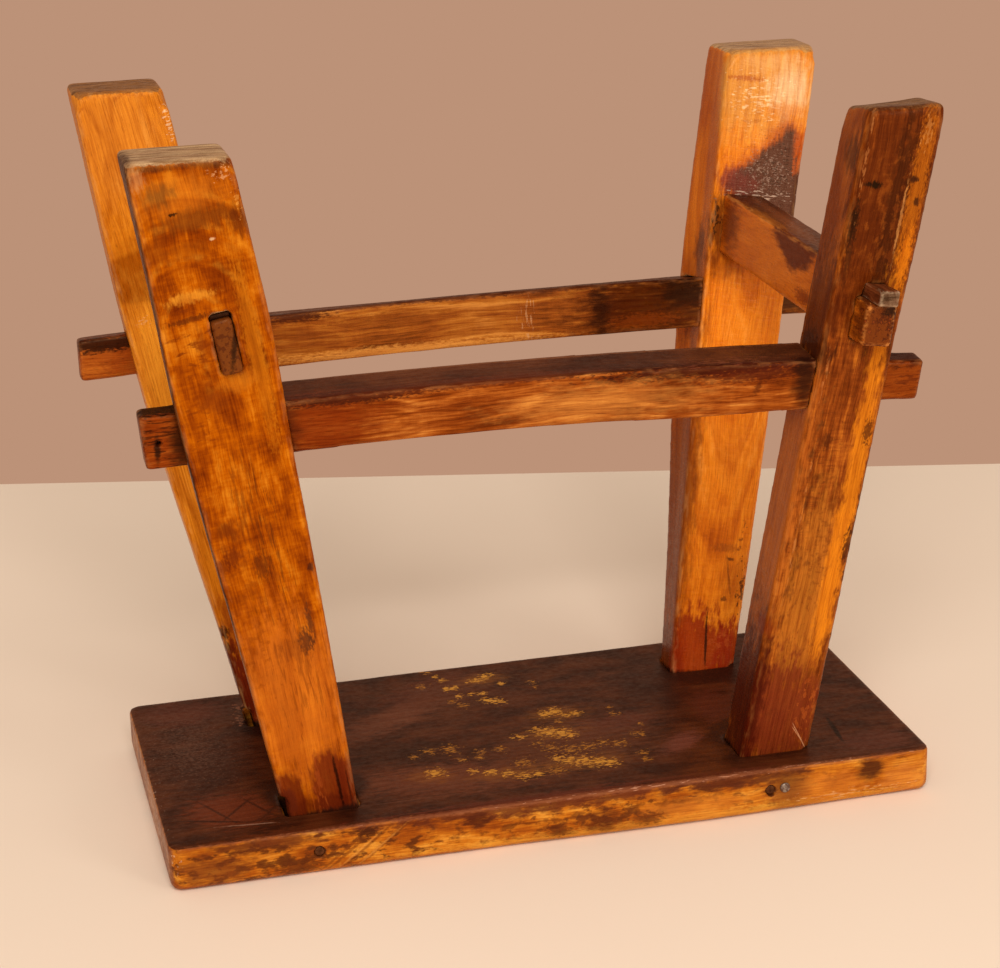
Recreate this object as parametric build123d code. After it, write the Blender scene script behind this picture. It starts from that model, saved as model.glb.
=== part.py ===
from build123d import *
import os
from dataclasses import dataclass
from math import radians, tan

# A child's stool in solid wood, turned over: it rests on its sitting face, with its feet up.
# X runs along the seat, Y from the front to the back and Z up, from the sitting face to the feet.
# The origin is the middle of the sitting face. Sizes are in millimetres and angles in degrees.
# The stool is hand made, so its legs and rails differ a little from each other.

# Seat plank
seat_length = 340.0
seat_width = 153.0
seat_thickness = 21.0
seat_corner_radius = 5.0
sitting_edge_radius = 4.5
underside_edge_worn = 0.8

# Legs, in common
total_height = 312.0
leg_inset_from_end = 67.6
leg_inset_from_side = 28.2
leg_seat_wide = 32.0
leg_belly_height_share = 0.55
leg_arris = 1.2
leg_shoulder = 2.5

# Legs, one by one: lean out to the end and to the side, depth at the seat, and size at the foot.
# The belly is how much wider a leg is halfway up than a straight taper would be.
front_left_end_angle = 9.3
front_left_side_angle = 6.3
front_left_seat_deep = 22.0
front_left_foot_wide = 41.0
front_left_foot_deep = 32.5
front_left_belly = 3.5
front_right_end_angle = 8.0
front_right_side_angle = 5.4
front_right_seat_deep = 23.0
front_right_foot_wide = 31.7
front_right_foot_deep = 26.0
front_right_belly = 1.0
back_left_end_angle = 10.3
back_left_side_angle = 6.2
back_left_seat_deep = 21.0
back_left_foot_wide = 39.5
back_left_foot_deep = 32.5
back_left_belly = 1.5
back_right_end_angle = 8.0
back_right_side_angle = 6.4
back_right_seat_deep = 18.5
back_right_foot_wide = 42.0
back_right_foot_deep = 29.5
back_right_belly = 3.1

# The left legs stand a little way out of their mortises, which are longer than their tenons
front_left_shoulder_rise = 9.0
front_left_mortise_slack = 2.2
back_left_shoulder_rise = 7.0
back_left_mortise_slack = 3.0

# Wedges in the ends of the leg tenons
seat_wedge_length = 14.0
seat_wedge_thick = 3.6
seat_wedge_tip_thick = 1.0
seat_wedge_offset = 5.5

# Pegs and a nail in the long edges of the seat
edge_peg_radius = 2.4
edge_peg_height = 10.6
edge_peg_recess = 0.8
edge_peg_bite = 6.0
edge_peg_end_round = 0.6
front_left_peg_shift = -4.4
front_right_peg_shift = -8.0
back_left_peg_shift = -4.0
back_right_peg_shift = -6.0
nail_from_peg = 6.4
nail_rise_from_peg = 0.9
nail_head_radius = 2.3
nail_head_thick = 1.1
nail_shank_wide = 2.0
nail_point_wide = 0.8
nail_length = 26.0

# Long rails, which pass through the legs from end to end
long_rail_deep = 22.5
long_rail_inset = 0.8
front_long_rail_high = 22.2
back_long_rail_high = 23.5
front_long_rail_bow = 2.7
back_long_rail_bow = 2.0
long_rail_arris = 0.8
front_left_long_rise = 178.4
front_right_long_rise = 174.0
back_left_long_rise = 174.2
back_right_long_rise = 175.3
long_tenon_thick = 11.0
long_tenon_outer_shoulder = 1.5
front_left_long_tenon_high = 23.0
front_right_long_tenon_high = 18.0
back_left_long_tenon_high = 18.6
back_right_long_tenon_high = 20.0
front_left_long_tenon_shift = -0.6
front_right_long_tenon_shift = -0.1
back_left_long_tenon_shift = 0.4
back_right_long_tenon_shift = 0.0
front_left_long_proud = 16.6
front_right_long_proud = 16.7
back_left_long_proud = 27.6
back_right_long_proud = 20.0
front_tenon_end_angle = 6.2
tenon_arris = 0.9
rail_hole_radius = 1.3
rail_hole_from_end = 6.6
rail_hole_drop = 1.1

# End rails, which pass through the legs from front to back, nearer the feet than the long rails
left_end_rail_thick = 16.8
left_end_rail_high = 29.5
right_end_rail_thick = 19.0
right_end_rail_high = 27.0
end_rail_arris = 0.8
front_left_stagger = 14.2
front_right_stagger = 7.0
back_left_stagger = 15.5
back_right_stagger = 12.3
front_left_end_shift = 2.5
front_right_end_shift = 1.6
back_left_end_shift = 2.0
back_right_end_shift = -6.6
end_tenon_lower_shoulder = 0.8
front_left_end_tenon_thick = 8.2
front_left_end_tenon_high = 22.5
front_left_end_proud = 0.3
front_right_end_tenon_thick = 14.0
front_right_end_tenon_high = 18.5
front_right_end_proud = 10.0
back_left_end_tenon_thick = 12.0
back_left_end_tenon_high = 20.0
back_left_end_proud = 2.0
back_right_end_tenon_thick = 14.0
back_right_end_tenon_high = 19.0
back_right_end_proud = 2.0

# Wedges that lock the end rails, above their tenons: thickness at the head, width and how far each
# stands out of its leg. One is driven in below the face. Their tips are thinner than their heads.
rail_wedge_tip_share = 0.65
front_left_wedge_thick = 2.4
front_left_wedge_wide = 8.0
front_left_wedge_proud = -1.6
front_right_wedge_thick = 7.0
front_right_wedge_wide = 8.8
front_right_wedge_proud = 15.0
back_left_wedge_thick = 5.0
back_left_wedge_wide = 8.8
back_left_wedge_proud = 4.0
back_right_wedge_thick = 6.5
back_right_wedge_wide = 8.8
back_right_wedge_proud = 5.0
rail_wedge_arris = 0.7
rail_wedge_tip_back = 4.0
rail_wedge_side_gap = 0.5

# Clearances and the length by which every cut runs past what it cuts
tenon_fit = 0.2
peg_fit = 0.1
shoulder_gap = 0.2
overrun = 6.0

leg_rise = total_height - seat_thickness


@dataclass
class Leg:
    """One leg: the end and side it stands at, its lean, its sections and how its tenon sits in the seat."""

    name: str
    end: int
    side: int
    end_angle: float
    side_angle: float
    seat_deep: float
    foot_wide: float
    foot_deep: float
    belly: float
    shoulder_rise: float = 0.0
    mortise_slack: float = tenon_fit

    def centre(self, height):
        """The leg's centre line at a height above the sitting face."""
        run = height - seat_thickness
        x = self.end * (seat_length / 2 - leg_inset_from_end + run * tan(radians(self.end_angle)))
        y = self.side * (seat_width / 2 - leg_inset_from_side + run * tan(radians(self.side_angle)))
        return Vector(x, y, height)

    def section(self, height):
        """Width along X and depth along Y at a height above the seat's underside."""
        share = (height - seat_thickness) / leg_rise
        swell = share * (1 - share) / (leg_belly_height_share * (1 - leg_belly_height_share))
        wide = leg_seat_wide + (self.foot_wide - leg_seat_wide) * share + self.belly * swell
        deep = self.seat_deep + (self.foot_deep - self.seat_deep) * share
        return wide, deep

    def front_outline(self, grow):
        """The leg seen from the front, with its swelling edges, as wide as it is plus twice grow."""
        belly_height = seat_thickness + leg_belly_height_share * leg_rise
        left = []
        right = []
        for height in (seat_thickness, belly_height, total_height):
            half = self.section(height)[0] / 2 + grow
            left.append((self.centre(height).X - half, height))
            right.append((self.centre(height).X + half, height))
        ends = [Line(left[0], right[0]), Line(left[-1], right[-1])]
        return Plane.XZ * make_face([ThreePointArc(*left), ThreePointArc(*right), *ends])

    def side_outline(self, grow):
        """The leg seen from the side, a straight taper."""
        corners = []
        for height, signs in ((seat_thickness, (-1, 1)), (total_height, (1, -1))):
            half = self.section(height)[1] / 2 + grow
            corners += [(self.centre(height).Y + sign * half, height) for sign in signs]
        return Plane.YZ * make_face(Polyline(*corners, close=True))

    def blank(self, grow=0.0):
        """The leg above the seat with sharp arrises, sawn to its front and its side outline."""
        across = extrude(self.front_outline(grow), seat_width, both=True)
        along = extrude(self.side_outline(grow), seat_length, both=True)
        return across & along

    def eased(self):
        """The blank with its long arrises and the edges of its foot planed off."""
        body = self.blank()
        seat_end = body.edges().group_by(Axis.Z)[0]
        return chamfer(body.edges() - seat_end, leg_arris)

    def tenon_block(self, low, high, inner, outer, deep):
        """A leaning block between two heights, reaching inwards and outwards from the leg's centre."""
        shift = self.end * (outer - inner) / 2
        base = Pos(self.centre(low)) * Pos(shift, 0) * Rectangle(inner + outer, deep)
        lean = self.centre(high) - self.centre(low)
        return extrude(base, lean.length, dir=lean.normalized())


@dataclass
class Peg:
    """A round peg driven through the seat's long edge and a leg's tenon."""

    leg: Leg
    shift: float

    def place(self, distance_in):
        """The frame on the peg's axis, at a distance in from the long edge, with Z pointing inwards."""
        x = self.leg.centre(seat_thickness).X + self.shift
        y = self.leg.side * (seat_width / 2 - distance_in)
        return Plane(origin=(x, y, edge_peg_height), x_dir=(1, 0, 0), z_dir=(0, -self.leg.side, 0))

    def reach(self):
        """How deep the peg's end lies in from the long edge."""
        return leg_inset_from_side + self.leg.seat_deep / 2 + edge_peg_bite

    def solid(self):
        """The peg itself, its outer end eased and a little below the edge."""
        length = self.reach() - edge_peg_recess
        peg = extrude(self.place(edge_peg_recess) * Circle(edge_peg_radius), length)
        return chamfer(peg.edges().group_by(Axis.Y)[0 if self.leg.side < 0 else -1], edge_peg_end_round)

    def bore(self):
        """The hole that the peg fills."""
        start = self.place(-overrun)
        return extrude(start * Circle(edge_peg_radius + peg_fit), self.reach() + overrun + peg_fit)


@dataclass
class Joint:
    """Where a rail passes through a leg: its tenon, how far it stands out and the wedge above it."""

    leg: Leg
    point: Vector
    tenon_thick: float
    tenon_high: float
    shift_across: float
    shift_up: float
    proud: float
    leg_half: float
    end_cut_angle: float = 0.0
    wedge_thick: float = 0.0
    wedge_wide: float = 0.0
    wedge_proud: float = 0.0


@dataclass
class Rail:
    """A rail between two legs, built along local X with local Z leaning as the legs do. It may be bowed."""

    first: Joint
    second: Joint
    up: Vector
    across: float
    high: float
    arris: float
    bow: float = 0.0

    def frame(self):
        """The plane at the rail's middle, with X along the rail."""
        along = (self.second.point - self.first.point).normalized()
        sideways = self.up.cross(along).normalized()
        middle = (self.first.point + self.second.point) / 2
        return Plane(origin=middle, x_dir=along, z_dir=along.cross(sideways))

    def half_span(self):
        """Half the distance between the two legs' centres."""
        return (self.second.point - self.first.point).length / 2

    def curve(self, start, end, shift):
        """A line along the rail at a height beside its middle line, bowed upwards as the rail is."""
        points = []
        for x in (start, (start + end) / 2, end):
            points.append((x, shift + self.bow * (1 - (x / self.half_span()) ** 2)))
        return ThreePointArc(*points) if self.bow else Line(points[0], points[-1])

    def bar(self, start, end, thick, high, shift=0.0, slant=0.0):
        """A bar that follows the rail from start to end. The end's upper edge lies a slant further."""
        lower = self.curve(start, end - slant / 2, shift - high / 2)
        upper = self.curve(start, end + slant / 2, shift + high / 2)
        outline = [lower, upper, Line(lower @ 0, upper @ 0), Line(lower @ 1, upper @ 1)]
        return extrude(Plane.XZ * make_face(outline), thick / 2, both=True)

    def body(self):
        """The full section between the legs, with shoulders that follow the legs' inner faces."""
        bar = self.bar(-self.half_span(), self.half_span(), self.across, self.high)
        ends = bar.edges().group_by(Axis.X)
        bar = self.frame() * chamfer(bar.edges() - ends[0] - ends[-1], self.arris)
        for joint in (self.first, self.second):
            bar = bar - joint.leg.blank(shoulder_gap)
        return bar.solids().sort_by(SortBy.VOLUME)[-1]

    def tenon(self, joint):
        """One tenon, from inside the body to its end beyond the leg, with its edges eased."""
        sign = -1 if joint is self.first else 1
        start = sign * (self.half_span() - 2 * joint.leg_half)
        end = sign * (self.half_span() + joint.leg_half + joint.proud)
        slant = sign * joint.tenon_high * tan(radians(joint.end_cut_angle))
        block = self.bar(start, end, joint.tenon_thick, joint.tenon_high, joint.shift_up, slant)
        body_end = block.edges().group_by(Axis.X)[-1 if sign < 0 else 0]
        block = chamfer(block.edges() - body_end, tenon_arris)
        return self.frame() * (Pos(0, joint.shift_across) * block)

    def slot(self, joint):
        """The square hole through a leg for a tenon, from inside the body to past the tenon's end."""
        sign = -1 if joint is self.first else 1
        start = sign * (self.half_span() - 2 * joint.leg_half)
        end = sign * (self.half_span() + joint.leg_half + joint.proud + overrun)
        thick = joint.tenon_thick + 2 * tenon_fit
        block = self.bar(start, end, thick, joint.tenon_high + 2 * tenon_fit, joint.shift_up)
        return self.frame() * (Pos(0, joint.shift_across) * block)

    def wedge_block(self, joint, wide, run_past=0.0):
        """The tapered wedge above a tenon, driven from outside. It can run past both of its ends."""
        sign = -1 if joint is self.first else 1
        base = joint.shift_up + joint.tenon_high / 2
        tip = self.half_span() - joint.leg_half + rail_wedge_tip_back
        head = self.half_span() + joint.leg_half + joint.wedge_proud
        thin = joint.wedge_thick * rail_wedge_tip_share
        slope = (joint.wedge_thick - thin) / (head - tip)
        tip = tip - run_past
        head = head + run_past
        outline = Polyline(
            (sign * tip, base),
            (sign * head, base),
            (sign * head, base + joint.wedge_thick + slope * run_past),
            (sign * tip, base + thin - slope * run_past),
            close=True,
        )
        block = extrude(Plane.XZ * make_face(outline), wide / 2, both=True)
        return self.frame() * (Pos(0, joint.shift_across) * block)

    def mortise(self, joint):
        """What the rail cuts from a leg: room for its tenon and, above it, for its wedge."""
        cut = self.slot(joint)
        if joint.wedge_thick:
            slot_wide = joint.wedge_wide + 2 * rail_wedge_side_gap
            cut = cut + self.wedge_block(joint, slot_wide, overrun + rail_wedge_tip_back)
        return cut

    def wedge(self, joint):
        """The wedge as a piece, with its outer corners eased."""
        block = self.wedge_block(joint, joint.wedge_wide)
        outer = block.faces().sort_by(Axis.Y)[0 if joint.leg.side < 0 else -1]
        return chamfer(outer.edges(), min(rail_wedge_arris, joint.wedge_thick / 4))

    def solid(self):
        """The whole rail, both tenons included."""
        return self.body() + self.tenon(self.first) + self.tenon(self.second)


front_left = Leg(
    name="front_left",
    end=-1,
    side=-1,
    end_angle=front_left_end_angle,
    side_angle=front_left_side_angle,
    seat_deep=front_left_seat_deep,
    foot_wide=front_left_foot_wide,
    foot_deep=front_left_foot_deep,
    belly=front_left_belly,
    shoulder_rise=front_left_shoulder_rise,
    mortise_slack=front_left_mortise_slack,
)
front_right = Leg(
    name="front_right",
    end=1,
    side=-1,
    end_angle=front_right_end_angle,
    side_angle=front_right_side_angle,
    seat_deep=front_right_seat_deep,
    foot_wide=front_right_foot_wide,
    foot_deep=front_right_foot_deep,
    belly=front_right_belly,
)
back_left = Leg(
    name="back_left",
    end=-1,
    side=1,
    end_angle=back_left_end_angle,
    side_angle=back_left_side_angle,
    seat_deep=back_left_seat_deep,
    foot_wide=back_left_foot_wide,
    foot_deep=back_left_foot_deep,
    belly=back_left_belly,
    shoulder_rise=back_left_shoulder_rise,
    mortise_slack=back_left_mortise_slack,
)
back_right = Leg(
    name="back_right",
    end=1,
    side=1,
    end_angle=back_right_end_angle,
    side_angle=back_right_side_angle,
    seat_deep=back_right_seat_deep,
    foot_wide=back_right_foot_wide,
    foot_deep=back_right_foot_deep,
    belly=back_right_belly,
)
legs = [front_left, front_right, back_left, back_right]

pegs = {
    "front_left": Peg(front_left, front_left_peg_shift),
    "front_right": Peg(front_right, front_right_peg_shift),
    "back_left": Peg(back_left, back_left_peg_shift),
    "back_right": Peg(back_right, back_right_peg_shift),
}


def long_joint(leg, rise, tenon_high, tenon_shift, proud, end_cut_angle=0.0):
    """A long rail's joint with a leg. The rail's inner face lies just inside the leg's inner face."""
    height = seat_thickness + rise
    wide, deep = leg.section(height)
    middle = leg.centre(height)
    outwards = long_rail_inset + long_rail_deep / 2 - deep / 2
    tenon_outwards = long_rail_deep / 2 - long_tenon_outer_shoulder - long_tenon_thick / 2
    return Joint(
        leg=leg,
        point=middle + Vector(0, leg.side * outwards, 0),
        tenon_thick=long_tenon_thick,
        tenon_high=tenon_high,
        shift_across=leg.side * tenon_outwards,
        shift_up=tenon_shift,
        proud=proud,
        leg_half=wide / 2,
        end_cut_angle=end_cut_angle,
    )


def long_rail(first, second, high, bow):
    """A long rail that leans to its side as its two legs do on average, bowed towards the feet."""
    lean = (tan(radians(first.leg.side_angle)) + tan(radians(second.leg.side_angle))) / 2
    up = Vector(0, first.leg.side * lean, 1)
    return Rail(first, second, up, long_rail_deep, high, long_rail_arris, bow)


def end_joint(leg, lower_edge, shift, high, tenon_thick, tenon_high, proud, **wedge):
    """An end rail's joint with a leg, its lower edge at a height above the sitting face."""
    height = lower_edge + high / 2
    wide, deep = leg.section(height)
    return Joint(
        leg=leg,
        point=leg.centre(height) + Vector(shift, 0, 0),
        tenon_thick=tenon_thick,
        tenon_high=tenon_high,
        shift_across=0.0,
        shift_up=end_tenon_lower_shoulder + tenon_high / 2 - high / 2,
        proud=proud,
        leg_half=deep / 2,
        **wedge,
    )


def end_rail(first, second, thick, high):
    """An end rail that leans to its end as its two legs do on average."""
    lean = (tan(radians(first.leg.end_angle)) + tan(radians(second.leg.end_angle))) / 2
    up = Vector(first.leg.end * lean, 0, 1)
    return Rail(first, second, up, thick, high, end_rail_arris)


# The heights of the upper edges of the long rails, in the legs, which the end rails clear
front_left_long_top = seat_thickness + front_left_long_rise + front_long_rail_high / 2
front_right_long_top = seat_thickness + front_right_long_rise + front_long_rail_high / 2
back_left_long_top = seat_thickness + back_left_long_rise + back_long_rail_high / 2
back_right_long_top = seat_thickness + back_right_long_rise + back_long_rail_high / 2

long_front = long_rail(
    long_joint(
        front_left,
        front_left_long_rise,
        front_left_long_tenon_high,
        front_left_long_tenon_shift,
        front_left_long_proud,
        front_tenon_end_angle,
    ),
    long_joint(
        front_right,
        front_right_long_rise,
        front_right_long_tenon_high,
        front_right_long_tenon_shift,
        front_right_long_proud,
        front_tenon_end_angle,
    ),
    front_long_rail_high,
    front_long_rail_bow,
)
long_back = long_rail(
    long_joint(
        back_left,
        back_left_long_rise,
        back_left_long_tenon_high,
        back_left_long_tenon_shift,
        back_left_long_proud,
    ),
    long_joint(
        back_right,
        back_right_long_rise,
        back_right_long_tenon_high,
        back_right_long_tenon_shift,
        back_right_long_proud,
    ),
    back_long_rail_high,
    back_long_rail_bow,
)
end_left = end_rail(
    end_joint(
        front_left,
        front_left_long_top + front_left_stagger,
        front_left_end_shift,
        left_end_rail_high,
        front_left_end_tenon_thick,
        front_left_end_tenon_high,
        front_left_end_proud,
        wedge_thick=front_left_wedge_thick,
        wedge_wide=front_left_wedge_wide,
        wedge_proud=front_left_wedge_proud,
    ),
    end_joint(
        back_left,
        back_left_long_top + back_left_stagger,
        back_left_end_shift,
        left_end_rail_high,
        back_left_end_tenon_thick,
        back_left_end_tenon_high,
        back_left_end_proud,
        wedge_thick=back_left_wedge_thick,
        wedge_wide=back_left_wedge_wide,
        wedge_proud=back_left_wedge_proud,
    ),
    left_end_rail_thick,
    left_end_rail_high,
)
end_right = end_rail(
    end_joint(
        front_right,
        front_right_long_top + front_right_stagger,
        front_right_end_shift,
        right_end_rail_high,
        front_right_end_tenon_thick,
        front_right_end_tenon_high,
        front_right_end_proud,
        wedge_thick=front_right_wedge_thick,
        wedge_wide=front_right_wedge_wide,
        wedge_proud=front_right_wedge_proud,
    ),
    end_joint(
        back_right,
        back_right_long_top + back_right_stagger,
        back_right_end_shift,
        right_end_rail_high,
        back_right_end_tenon_thick,
        back_right_end_tenon_high,
        back_right_end_proud,
        wedge_thick=back_right_wedge_thick,
        wedge_wide=back_right_wedge_wide,
        wedge_proud=back_right_wedge_proud,
    ),
    right_end_rail_thick,
    right_end_rail_high,
)
rails = [long_front, long_back, end_left, end_right]


# How far each leg's tenon reaches inwards from the leg's centre line, and outwards, up to its shoulder
tenon_inner = leg_seat_wide / 2
tenon_outer = leg_seat_wide / 2 - leg_shoulder


def seat_wedge(leg):
    """The thin wedge driven into the end of a leg's tenon, across the grain of the seat."""
    corners = []
    head = (0, seat_wedge_thick, (-1, 1))
    tip = (seat_wedge_length, seat_wedge_tip_thick, (1, -1))
    for height, thick, signs in (head, tip):
        middle = leg.centre(height).X + seat_wedge_offset
        corners += [(middle + sign * thick / 2, height) for sign in signs]
    outline = Plane.XZ * make_face(Polyline(*corners, close=True))
    around = leg.tenon_block(0, seat_wedge_length, tenon_inner, tenon_outer, leg.seat_deep)
    return extrude(outline, seat_width, both=True) & around


def nail_frame(distance_in):
    """The frame on the nail's axis, at a distance in from the front edge, with Z pointing inwards."""
    x = pegs["front_right"].place(0).origin.X + nail_from_peg
    y = distance_in - seat_width / 2
    return Plane(origin=(x, y, edge_peg_height + nail_rise_from_peg), x_dir=(1, 0, 0), z_dir=(0, 1, 0))


def nail_shape(grow=0.0):
    """The nail's square, tapered shank, or its hole if grown."""
    root = Rectangle(nail_shank_wide + 2 * grow, nail_shank_wide + 2 * grow)
    point = Rectangle(nail_point_wide + 2 * grow, nail_point_wide + 2 * grow)
    return nail_frame(0) * loft([root, Pos(0, 0, nail_length) * point], ruled=True)


def edge_nail():
    """The nail beside the front right peg, with a flat head that stands on the edge."""
    head = nail_frame(-nail_head_thick) * extrude(Circle(nail_head_radius), nail_head_thick)
    head = chamfer(head.edges().group_by(Axis.Y)[0], nail_head_thick / 3)
    return head + nail_shape()


def seat_plank():
    """The plank, cut for the four leg tenons, their pegs and the nail."""
    plank = extrude(RectangleRounded(seat_length, seat_width, seat_corner_radius), seat_thickness)
    plank = fillet(plank.edges().group_by(Axis.Z)[0], min(sitting_edge_radius, seat_thickness / 3))
    plank = chamfer(plank.edges().group_by(Axis.Z)[-1], underside_edge_worn)
    for leg in legs:
        plank = plank - leg.tenon_block(
            low=-overrun,
            high=seat_thickness + overrun,
            inner=tenon_inner + tenon_fit,
            outer=tenon_outer + leg.mortise_slack,
            deep=leg.seat_deep + 2 * tenon_fit,
        )
    for peg in pegs.values():
        plank = plank - peg.bore()
    return plank - nail_shape(peg_fit)


def raised_shoulder(leg):
    """The strip cut from the foot of a raised leg, so that its shoulder stands above the seat."""
    return leg.tenon_block(
        low=seat_thickness - overrun,
        high=seat_thickness + leg.shoulder_rise,
        inner=-tenon_outer,
        outer=leg_seat_wide,
        deep=leg.seat_deep * 2,
    )


def leg_solid(leg):
    """A leg with its tenon, cut for the rails that pass through it and for its peg and wedge."""
    body = leg.eased()
    if leg.shoulder_rise:
        body = body - raised_shoulder(leg)
    tenon = leg.tenon_block(0, seat_thickness, tenon_inner, tenon_outer, leg.seat_deep)
    tenon = tenon - seat_wedge(leg) - pegs[leg.name].bore()
    if leg is front_right:
        tenon = tenon - nail_shape(peg_fit)
    body = body + tenon
    for rail in rails:
        for joint in (rail.first, rail.second):
            if joint.leg is leg:
                body = body - rail.mortise(joint)
    return body


def front_long_rail():
    """The front long rail, with a small old peg hole through its proud left end."""
    joint = long_front.first
    x = rail_hole_from_end - long_front.half_span() - joint.leg_half - joint.proud
    middle = long_front.curve(x, 0, 0) @ 0
    hole = extrude(Plane.XZ * Circle(rail_hole_radius), long_rail_deep, both=True)
    return long_front.solid() - long_front.frame() * (Pos(middle.X, 0, middle.Y - rail_hole_drop) * hole)


def stool():
    """Every piece of the stool by name."""
    pieces = {"seat_plank": seat_plank()}
    for leg in legs:
        pieces[f"leg_{leg.name}"] = leg_solid(leg)
        pieces[f"seat_wedge_{leg.name}"] = seat_wedge(leg)
        pieces[f"edge_peg_{leg.name}"] = pegs[leg.name].solid()
    pieces["edge_nail"] = edge_nail()
    pieces["long_rail_front"] = front_long_rail()
    pieces["long_rail_back"] = long_back.solid()
    pieces["end_rail_left"] = end_left.solid()
    pieces["end_rail_right"] = end_right.solid()
    for rail in (end_left, end_right):
        for joint in (rail.first, rail.second):
            pieces[f"rail_wedge_{joint.leg.name}"] = rail.wedge(joint)
    return pieces


os.makedirs("parts", exist_ok=True)
for name, piece in stool().items():
    export_step(piece, f"parts/{name}.step")
    print(name, len(piece.solids()), round(piece.volume))
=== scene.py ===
"""A child's stool in old varnished elm, lying on its sitting face on a plain pale floor.

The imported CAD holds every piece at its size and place. Here each wooden piece is a copy of its
node with worn arrises, dents and hand-planed faces, in its own procedural timber, and so is the
nail in iron. Sizes and places are millimetres, in the frame of the CAD: +X along the seat, +Y to
the back and +Z up.
"""

import logging
import math
from dataclasses import dataclass
from enum import Enum

import bpy
import numpy as np
from mathutils import Euler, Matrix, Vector
from mathutils.bvhtree import BVHTree

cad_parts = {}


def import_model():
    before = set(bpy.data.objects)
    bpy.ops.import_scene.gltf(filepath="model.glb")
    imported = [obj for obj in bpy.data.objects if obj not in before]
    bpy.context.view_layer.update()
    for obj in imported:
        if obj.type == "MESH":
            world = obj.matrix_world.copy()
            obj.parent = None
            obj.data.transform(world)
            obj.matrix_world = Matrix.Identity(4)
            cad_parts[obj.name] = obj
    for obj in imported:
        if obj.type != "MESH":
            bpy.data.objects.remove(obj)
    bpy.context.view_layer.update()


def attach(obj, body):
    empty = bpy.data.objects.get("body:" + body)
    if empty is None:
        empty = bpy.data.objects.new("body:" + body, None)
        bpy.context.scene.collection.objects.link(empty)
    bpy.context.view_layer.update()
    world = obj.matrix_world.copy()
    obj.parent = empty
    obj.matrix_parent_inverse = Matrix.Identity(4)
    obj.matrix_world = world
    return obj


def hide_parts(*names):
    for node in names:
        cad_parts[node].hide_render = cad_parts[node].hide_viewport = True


log = logging.getLogger("stool")

MM = 0.001
# The CAD's box, taken in by a hair, which no worn face leaves.
BOX = ((-180.6, -96.4, 0.02), (169.9, 95.9, 311.95))

# Widths and lengths of the patterns that every timber has, across and along the grain: what pulls
# the edges of marks about, the same for small marks, the uneven gloss of the varnish, the marks of
# the plane, the open pores, the wear of the arrises, the gaps in the pale early wood and the
# wander of the grain.
RAG = (2.2, 7.0)
NICK = (0.8, 2.0)
GLAZE = (2.6, 2.8)
RIPPLE = (7.0, 1.5)
PORE = (0.42, 5.0)
WEAR = (2.0, 9.0)
BROKEN = (5.0, 5.0)
BEND = (30.0, 65.0)
# The length and the width of the bands on bare end grain.
END_BANDS = (14.0, 2.2)
# The length of a cloud of colour, as a share of its width.
CLOUD_LENGTH = 1.8
# How much the fibres tell in the plain wood's tone, and where its four tones stand in it.
FIBRE_TONE = 0.3
TONE_STOPS = (0.22, 0.42, 0.58, 0.78)
# Where a ring is palest, how far that reaches and where it is darkest, as shares of a ring.
EARLY_WOOD = 0.12
EARLY_REACH = 0.22
LATE_WOOD = 0.88
# The heights over the heart of the rings between which the pale early wood sets in.
PALE_LOW = -45.0
PALE_HIGH = -8.0
# How fast flecks thin out over a mark's reach.
FLECK_FADE = 0.14
# The least reach of a mark whose edge the larger pattern pulls about.
SMALL_MARK = 3.5
# How far before its own place a look that misses the piece seeks the nearest face, in metres.
MISS = 0.07

Pair = tuple[float, float]
Point = tuple[float, float, float]
Socket = bpy.types.NodeSocket
Tree = bpy.types.NodeTree


class Side(Enum):
    """The side that a mark is seen from, as the direction of sight."""

    FRONT = (0.0, 1.0, 0.0)
    LEFT = (1.0, 0.0, 0.0)
    ABOVE = (0.0, 0.0, -1.0)


def linear(hex_code: str) -> tuple[float, float, float, float]:
    """Turn an sRGB hex colour into linear RGBA.

    Args:
        hex_code: the colour, as six hex digits.

    Returns:
        The linear red, green and blue, and an alpha of one.
    """
    channels = []
    for start in (0, 2, 4):
        share = int(hex_code[start : start + 2], 16) / 255
        channels.append(share / 12.92 if share <= 0.04045 else ((share + 0.055) / 1.055) ** 2.4)
    return (*channels, 1.0)


def add_node(tree: Tree, kind: str, inputs: dict | None = None, **settings) -> bpy.types.Node:
    """Add a node with its settings and links.

    Args:
        tree: the material's node tree.
        kind: the node's type name.
        inputs: values or sockets by input name or number.
        settings: the node's own properties.

    Returns:
        The new node.
    """
    node = tree.nodes.new(kind)
    for name, value in settings.items():
        setattr(node, name, value)
    for name, value in (inputs or {}).items():
        if isinstance(value, Socket):
            tree.links.new(value, node.inputs[name])
        else:
            node.inputs[name].default_value = value
    return node


def select_only(piece: bpy.types.Object) -> None:
    """Make a piece the one active and selected object."""
    bpy.ops.object.select_all(action="DESELECT")
    piece.select_set(True)
    bpy.context.view_layer.objects.active = piece


def apply_modifiers(piece: bpy.types.Object) -> None:
    """Apply every modifier of a piece, in order."""
    select_only(piece)
    for modifier in list(piece.modifiers):
        bpy.ops.object.modifier_apply(modifier=modifier.name)


def touched(node: str, side: Side, at: Pair) -> Vector:
    """Find the place on a node that is seen from a side at two of its coordinates.

    Args:
        node: the CAD node's name.
        side: the side that it is looked at from.
        at: the other two coordinates in mm, in the order x, y, z.

    Returns:
        The place on the node's surface, in mm, or the nearest one if the look misses it.
    """
    sight = Vector(side.value)
    depth = [abs(step) > 0 for step in sight].index(True)
    place = list(at)
    place.insert(depth, 0.0)
    # The look starts a metre away.
    start = Vector(place) * MM - sight
    surface = BVHTree.FromObject(bpy.data.objects[node], bpy.context.evaluated_depsgraph_get())
    hit = surface.ray_cast(start, sight)[0]
    if hit is None:
        hit = surface.find_nearest(start + sight * (1 - MISS))[0]
    return hit / MM


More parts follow.
